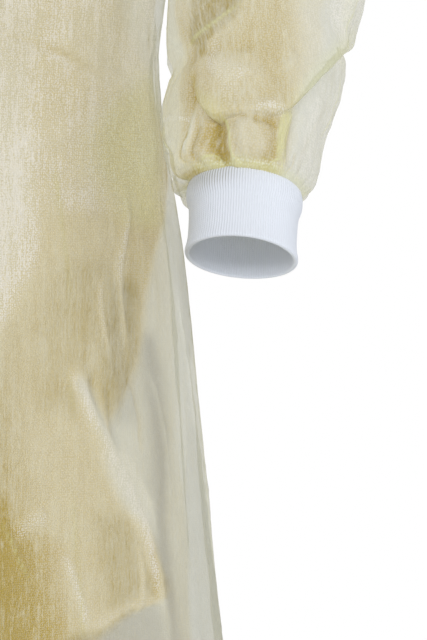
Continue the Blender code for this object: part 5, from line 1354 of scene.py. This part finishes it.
def swept(path, closed, width, thickness, up, points_round=16, power=0.5):
    """A strip of oval section carried along a path. The section's width lies along the part of up
    that is square to the path; power under 1 makes the section flatter than an ellipse."""
    if closed:
        along = unit(np.roll(path, -1, axis=0) - np.roll(path, 1, axis=0))
    else:
        along = unit(np.gradient(path, axis=0))
    wide = unit(up - along * (up * along).sum(axis=1, keepdims=True))
    thick = np.cross(along, wide)
    turn = np.arange(points_round) * 2 * math.pi / points_round
    across = 0.5 * np.sign(np.cos(turn)) * np.abs(np.cos(turn)) ** power
    through = 0.5 * np.sign(np.sin(turn)) * np.abs(np.sin(turn)) ** power
    width = np.broadcast_to(width, len(path))[:, None, None]
    thickness = np.broadcast_to(thickness, len(path))[:, None, None]
    return (path[:, None] + wide[:, None] * width * across[:, None]
            + thick[:, None] * thickness * through[:, None])


def knot_points(centre, size, count=220):
    """An overhand knot pulled tight: the trefoil x = sin t + 2 sin 2t, z = cos t - 2 cos 2t,
    y = -sin 3t, fitted to the knot's box, with a flat strip along it."""
    t = np.arange(count) * 2 * math.pi / count
    path = np.stack([np.sin(t) + 2 * np.sin(2 * t), -np.sin(3 * t), np.cos(t) - 2 * np.cos(2 * t)], axis=1)
    path = path * (0.30 * size[0] / 3.0, 0.26 * size[1], 0.30 * size[2] / 3.0)
    up = np.stack([np.cos(2 * t) * 0.5, np.ones_like(t), np.sin(2 * t) * 0.5], axis=1)
    strip = swept(path, True, 0.30 * size[1] * (1 + 0.15 * np.sin(5 * t)), 0.36 * min(size[0], size[2]),
                  up, points_round=20, power=0.8)
    return strip + centre


def band_object(name, surface, outward, lift, thickness, material, inside_out=False):
    """Makes a closed band from its points on a surface, (rows, columns, 3), with rounded long edges."""
    columns = surface.shape[1]
    edge = np.abs(np.linspace(-1, 1, columns))
    round_off = np.sqrt(np.clip(1 - ease(0.86, 1.0, edge) * 0.96, 0.02, 1))
    body = thickness * round_off[None, :]
    middle = lift + 0.5 * thickness
    outer = surface + outward * (middle + 0.5 * body)[..., None]
    inner = surface + outward * (middle - 0.5 * body)[..., None]
    points = np.concatenate([outer, inner[:, ::-1]], axis=1)
    # Both ends are closed by a row in which the outer and the inner side meet.
    lids = [0.5 * (points[k:k + 1] + points[k:k + 1, ::-1]) for k in (0, -1)]
    points = np.concatenate([lids[0], points, lids[1]], axis=0)
    closed = np.concatenate([points, points[:, :1]], axis=1)
    return grid_object(name, points, cloth_map(closed, 0), material, wrap=True, inside_out=inside_out)


class GOWN_OT_neck(Operator):
    """Add the neck's binding, its knot and its two hanging ends"""
    bl_idname = "gown.neck"
    bl_label = "Neck Binding and Tie"

    def execute(self, context):
        cloth, settings = binding_cloth(), context.scene.gown_trims
        # The neckline from the left back edge over the front to the right back edge.
        edge = float(lap_edge(np.array([2.0]))[0])
        left = np.linspace(edge, NECK_SHARE, 60)
        front = np.linspace(NECK_SHARE, -NECK_SHARE, 150)
        base = np.concatenate([top_edge("back", left), top_edge("front", front)[1:-1],
                               top_edge("back", -left[::-1])])
        length = np.append(0, np.cumsum(np.linalg.norm(np.diff(base, axis=0), axis=1)))
        even = np.linspace(0, length[-1], 420)
        base = np.stack([np.interp(even, length, base[:, k]) for k in range(3)], axis=1)
        inward = unit(base * (-1.0, -1.0, 0.0))
        up = unit(inward * BINDING_LEAN + (0.0, 0.0, 1.0))
        outward = facing(unit(np.cross(np.gradient(base, axis=0), up)), -inward)
        # A strip folded over the edge: up the outside, round the top, down the inside.
        pucker = (0.00022 * np.sin(even * 2 * math.pi / 0.0085 + 1.3 * np.sin(even * 60))
                  + 0.00015 * np.sin(even * 2 * math.pi / 0.021))[:, None]
        turn = np.linspace(0, math.pi, 9)
        wall, top = BINDING_WALL, BINDING_HEIGHT - 0.0006
        side = np.concatenate([np.full(9, 1.0), np.cos(turn), np.full(9, -1.0)]) * 0.5
        rise = np.concatenate([np.linspace(-0.0002, top, 10)[:-1], top + 0.0011 * np.sin(turn),
                               np.linspace(top, -0.0002, 10)[1:]])
        groove = 1 - 0.35 * bell(rise - STITCHES_AT, 0.0007) + 0.12 * bell(rise - 0.0007, 0.0008)
        thick = side * wall * groove
        points = (base[:, None] + up[:, None] * (rise[None, :, None] + pucker[..., None] * 0.6)
                  + outward[:, None] * (thick[None, :] - 0.5 * wall + pucker)[..., None])
        closed = np.concatenate([points, points[:, :1]], axis=1)
        piece = grid_object("neck_binding_strip", points, cloth_map(closed, 0), cloth, wrap=True,
                            inside_out=True)
        settle(piece, "neck_binding")
        # Lockstitch just above the binding's lower edge.
        line = base + up * STITCHES_AT + outward * (0.30 * wall - 0.5 * wall + 0.00035)
        threads = stitches("neck_binding_stitches", line, outward, settings.stitch, sewing_thread())
        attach(threads, "root")

        centre = np.array([0.0, NECK_BACK[1] - KNOT_SINK, NECK_BACK[2] + 0.5 * BINDING_HEIGHT])
        piece = closed_tube("neck_tie_knot", knot_points(centre, NECK_KNOT), cloth)
        settle(piece, "neck_knot")
        for name, side in (("left", 1), ("right", -1)):
            share = np.linspace(NECK_END_TOP, NECK_END_BOTTOM, 70)
            middle = side * (NECK_END_OFF + NECK_END_LEAN * (NECK_END_TOP - share))
            middle = middle + 0.006 * np.sin(share * 9 + side) * (NECK_END_TOP - share)
            half = 0.5 * NECK_TIE_WIDTH / NECK_END_HALF_PANEL
            u = middle[:, None] + half * np.linspace(-1, 1, 9)[None, :]
            row = np.broadcast_to((1 + share)[:, None], u.shape)
            lies_on = np.where(row > 1.5, side, -UNDER_SIDE)
            here, outward = on_back_panel(lies_on, u, row)
            loose = ease(0, 0.4, NECK_END_TOP + 1 - row)
            lift = np.full(u.shape, TIE_CLEAR) + 0.0006 * (1 + np.sin(row * 31)) * loose
            piece = band_object(f"neck_tie_end_{name}", here, outward, lift, TIE_WALL, cloth, True)
            settle(piece, f"neck_end_{name}")
        return {"FINISHED"}


def on_back_panel(lies_on, u, row):
    """Points and outward normals of the back's surface, on the under panel where lies_on says so."""
    step = 1e-3

    def place(du, dr):
        return body_surface("back", u + du, row + dr)[0]

    here = place(0, 0)
    outward = unit(np.cross(place(step, 0) - place(-step, 0), place(0, step) - place(0, -step)))
    outward = facing(outward, (0, 1, 0))
    move = np.where(lies_on == UNDER_SIDE, lap_move(UNDER_SIDE, np.abs(u), row), 0.0)
    return here + outward * move[..., None], outward


def both_ways(grid):
    """A grid with its first row and column again at its ends."""
    grid = np.concatenate([grid, grid[:1]], axis=0)
    return np.concatenate([grid, grid[:, :1]], axis=1)


def closed_tube(name, points, material):
    """A tube whose last ring joins its first: both directions of the grid are closed."""
    rows, columns = points.shape[:2]
    index = both_ways(np.arange(rows * columns).reshape(rows, columns))
    corner = np.arange(index.size).reshape(index.shape)
    quads, corners = (np.stack([k[:-1, :-1], k[:-1, 1:], k[1:, 1:], k[1:, :-1]], axis=-1).reshape(-1, 4)
                      for k in (index, corner))
    mesh = bpy.data.meshes.new(name)
    mesh.from_pydata(points.reshape(-1, 3).tolist(), [], quads.tolist())
    uv = mesh.uv_layers.new(name="cloth")
    cloth_uv = cloth_map(both_ways(points), 0).reshape(-1, 2)[corners.ravel()]
    uv.data.foreach_set("uv", cloth_uv.astype(np.float32).ravel())
    return placed(mesh, material)


def stitches(name, line, outward, pitch, material, radius=0.00016):
    """A row of lockstitches along a line: small ovals of thread, sunk at both ends. Each stitch is a
    tube of five rings of six points, all worked out at once."""
    length = np.append(0, np.cumsum(np.linalg.norm(np.diff(line, axis=0), axis=1)))
    count = int(length[-1] / pitch)
    share = np.linspace(-0.44, 0.44, 5)
    at = (np.arange(count)[:, None] + 0.5 + share[None, :]) * pitch
    place, out = (np.stack([np.interp(at, length, field[:, k]) for k in range(3)], axis=-1)
                  for field in (line, outward))
    ahead = unit(np.stack([np.interp(at + 1e-4, length, line[:, k]) for k in range(3)], axis=-1) - place)
    aside = np.cross(ahead, out)
    turn = np.arange(6) * math.pi / 3
    size = radius * np.sqrt(np.clip(1 - (share / 0.46) ** 2, 0.05, 1))
    lift = radius * (1 - (share / 0.44) ** 4) - 0.4 * radius
    rise = lift[:, None] + size[:, None] * np.sin(turn)
    points = (place[..., None, :] + out[..., None, :] * rise[None, ..., None]
              + aside[..., None, :] * (size[:, None] * np.cos(turn))[None, ..., None])
    ring = np.arange(6)
    one = [(5 * 0 + r * 6 + a, r * 6 + b, (r + 1) * 6 + b, (r + 1) * 6 + a)
           for r in range(4) for a, b in zip(ring, np.roll(ring, -1))]
    caps = [tuple(ring[::-1]), tuple(ring + 24)]
    quads = (np.array(one)[None] + 30 * np.arange(count)[:, None, None]).reshape(-1, 4)
    ends = (np.array(caps)[None] + 30 * np.arange(count)[:, None, None]).reshape(-1, 6)
    mesh = bpy.data.meshes.new(name)
    mesh.from_pydata(points.reshape(-1, 3).tolist(), [], quads.tolist() + ends.tolist())
    return placed(mesh, material)


class GOWN_OT_waist(Operator):
    """Add the waist ties behind the waist, their knot and their two hanging ends"""
    bl_idname = "gown.waist"
    bl_label = "Waist Ties"

    def execute(self, context):
        cloth = binding_cloth()
        for name, side in (("left", 1), ("right", -1)):
            reach = np.linspace(1.0, 0.045, 150)
            across = np.linspace(-0.5, 0.5, 15)
            # The tie is bunched a little where it nears the knot.
            bunch = 1 - 0.45 * ease(0.30, 0.05, reach)
            height = (WAIST_TIE_HEIGHT + across[None, :] * WAIST_TIE_WIDTH * bunch[:, None]
                      + 0.0012 * np.sin(reach * 11 + side)[:, None] * ease(1.0, 0.9, reach)[:, None])
            u = np.broadcast_to(side * reach[:, None], height.shape)
            row = at_height(height)
            lies_on = np.where(np.abs(u) < LAP_FROM, -UNDER_SIDE, side)
            here, outward = on_back_panel(lies_on, u, row)
            pleats = 0.0011 * ease(0.42, 0.06, reach)[:, None] * np.abs(np.sin(across * 14.0))[None, :]
            lift = TIE_CLEAR + pleats + 0.0004 * (1 + np.sin(reach * 40)[:, None]) + 0.0 * u
            piece = band_object(f"waist_tie_strip_{name}", here, outward, lift, TIE_WALL, cloth, side < 0)
            settle(piece, f"waist_tie_{name}")

            below = np.linspace(-0.004, WAIST_TAIL_LENGTH, 150)
            opens = ease(0.0, TAIL_OPENS, below)
            half = 0.25 * WAIST_TIE_WIDTH * (1.0 + opens)
            middle = side * (TAIL_OFF_MIDDLE + TAIL_SPREAD * opens + TAIL_LEAN * below)
            share = np.linspace(-1, 1, 15)[None, :]
            x = middle[:, None] + half[:, None] * share
            height = np.broadcast_to((WAIST_TIE_HEIGHT - 0.5 * WAIST_KNOT[2] - below)[:, None], x.shape)
            u = np.arcsin(x / table(BODY_SECTIONS, HALF_WIDTH, height)) / (0.5 * math.pi)
            here, outward = on_back_panel(np.full(u.shape, -UNDER_SIDE), u, at_height(height))
            lift = (TIE_CLEAR + TAIL_WAVE * (1 - np.cos(TAIL_WAVE_TURN * below))[:, None]
                    + 0.0016 * (1 - opens)[:, None] * np.abs(np.sin(share * 5.0))
                    + 0.0008 * (1 + np.sin(70 * below + 2 * side))[:, None] * share ** 2)
            piece = band_object(f"waist_tie_end_{name}", here, outward, lift, TIE_WALL, cloth, False)
            settle(piece, f"waist_end_{name}")
        back = float(table(BODY_SECTIONS, BACK_DEPTH, WAIST_TIE_HEIGHT))
        back += float(drape(np.array([180.0]), np.array([WAIST_TIE_HEIGHT]))[0])
        centre = np.array([0.0, back + 0.5 * WAIST_KNOT[1] + WAIST_KNOT_CLEAR, WAIST_TIE_HEIGHT])
        piece = closed_tube("waist_tie_knot", knot_points(centre, WAIST_KNOT, 320), cloth)
        settle(piece, "waist_knot")
        return {"FINISHED"}


class GOWN_OT_stage(Operator):
    """Add the floor, the lights and the camera"""
    bl_idname = "gown.stage"
    bl_label = "Stage"

    def execute(self, context):
        settings, scene = context.scene.gown_stage, context.scene
        # A round painted board, well below the hem.
        turn = np.linspace(0, 2 * math.pi, 97)[:-1]
        mesh = bpy.data.meshes.new("floor")
        rim = np.stack([FLOOR_RADIUS * np.cos(turn), FLOOR_RADIUS * np.sin(turn),
                        np.full_like(turn, FLOOR_HEIGHT)], axis=1)
        mesh.from_pydata(rim.tolist(), [], [tuple(range(len(turn)))])
        paint, fresh = new_material("Matt white paint")
        if fresh:
            point = add_node(paint, "ShaderNodeTexCoord").outputs["Object"]
            bump = bumped(paint, noise(paint, point, 300.0, dimensions="3D")["Fac"], 1.0, 0.0002)
            shader = add_node(paint, "ShaderNodeBsdfPrincipled",
                              {"Base Color": settings.floor, "Roughness": 0.85, "Normal": bump})
            add_node(paint, "ShaderNodeOutputMaterial", {"Surface": shader.outputs[0]})
        mesh.materials.append(paint)
        floor = bpy.data.objects.new("floor", mesh)
        scene.collection.objects.link(floor)

        # White all round: full white to the eye, less as a light.
        world = bpy.data.worlds.new("white studio")
        scene.world = world
        world.use_nodes = True
        world.node_tree.nodes.clear()
        seen = add_node(world, "ShaderNodeLightPath").outputs["Is Camera Ray"]
        background = add_node(world, "ShaderNodeBackground",
                              {"Color": (1.0, 1.0, 1.0, 1.0),
                               "Strength": ranged(world, seen, to_min=settings.ambient)})
        add_node(world, "ShaderNodeOutputWorld", {"Surface": background.outputs[0]})

        for name, place, aim, size, power in LIGHTS:
            light = bpy.data.lights.new(name, "AREA")
            light.shape, light.size, light.energy = "DISK", size, power
            lamp = bpy.data.objects.new(name, light)
            scene.collection.objects.link(lamp)
            lamp.location = place
            away = np.array(place) - np.array(aim)
            lamp.rotation_euler = (math.acos(away[2] / np.linalg.norm(away)), 0.0,
                                   math.atan2(away[0], -away[1]))

        camera = bpy.data.cameras.new("camera")
        camera.sensor_fit, camera.sensor_height, camera.lens = "VERTICAL", 36.0, settings.lens
        camera.clip_start, camera.clip_end = 0.05, 60.0
        eye = bpy.data.objects.new("camera", camera)
        eye.location = CAMERA_PLACE
        eye.rotation_euler = (math.radians(90.0), 0.0, 0.0)
        scene.collection.objects.link(eye)
        scene.camera = eye
        scene.view_settings.view_transform = "Standard"
        return {"FINISHED"}


class GOWN_PT_gown(Panel):
    """The gown's pieces, their sizes and their colours"""
    bl_idname = "GOWN_PT_gown"
    bl_label = "Visitor Gown"
    bl_space_type = "VIEW_3D"
    bl_region_type = "UI"
    bl_category = "Gown"

    def draw(self, context):
        layout, scene = self.layout, context.scene
        for group in (scene.gown_cloth, scene.gown_cuffs, scene.gown_trims, scene.gown_stage):
            box = layout.box()
            for name in group.__annotations__:
                box.prop(group, name)
        for operator in OPERATORS:
            layout.operator(operator.bl_idname)


OPERATORS = (GOWN_OT_panels, GOWN_OT_sleeves, GOWN_OT_cuffs, GOWN_OT_neck, GOWN_OT_waist, GOWN_OT_stage)
GROUPS = (("gown_cloth", GownCloth), ("gown_cuffs", GownCuffs), ("gown_trims", GownTrims),
          ("gown_stage", GownStage))


def register():
    for name, group in GROUPS:
        bpy.utils.register_class(group)
        setattr(bpy.types.Scene, name, PointerProperty(type=group))
    for kind in (*OPERATORS, GOWN_PT_gown):
        bpy.utils.register_class(kind)


def unregister():
    for kind in (GOWN_PT_gown, *reversed(OPERATORS)):
        bpy.utils.unregister_class(kind)
    for name, group in reversed(GROUPS):
        delattr(bpy.types.Scene, name)
        bpy.utils.unregister_class(group)


def main():
    register()
    bpy.ops.gown.panels()
    bpy.ops.gown.sleeves()
    bpy.ops.gown.cuffs()
    bpy.ops.gown.neck()
    bpy.ops.gown.waist()
    bpy.ops.gown.stage()


if __name__ == "__main__":
    main()
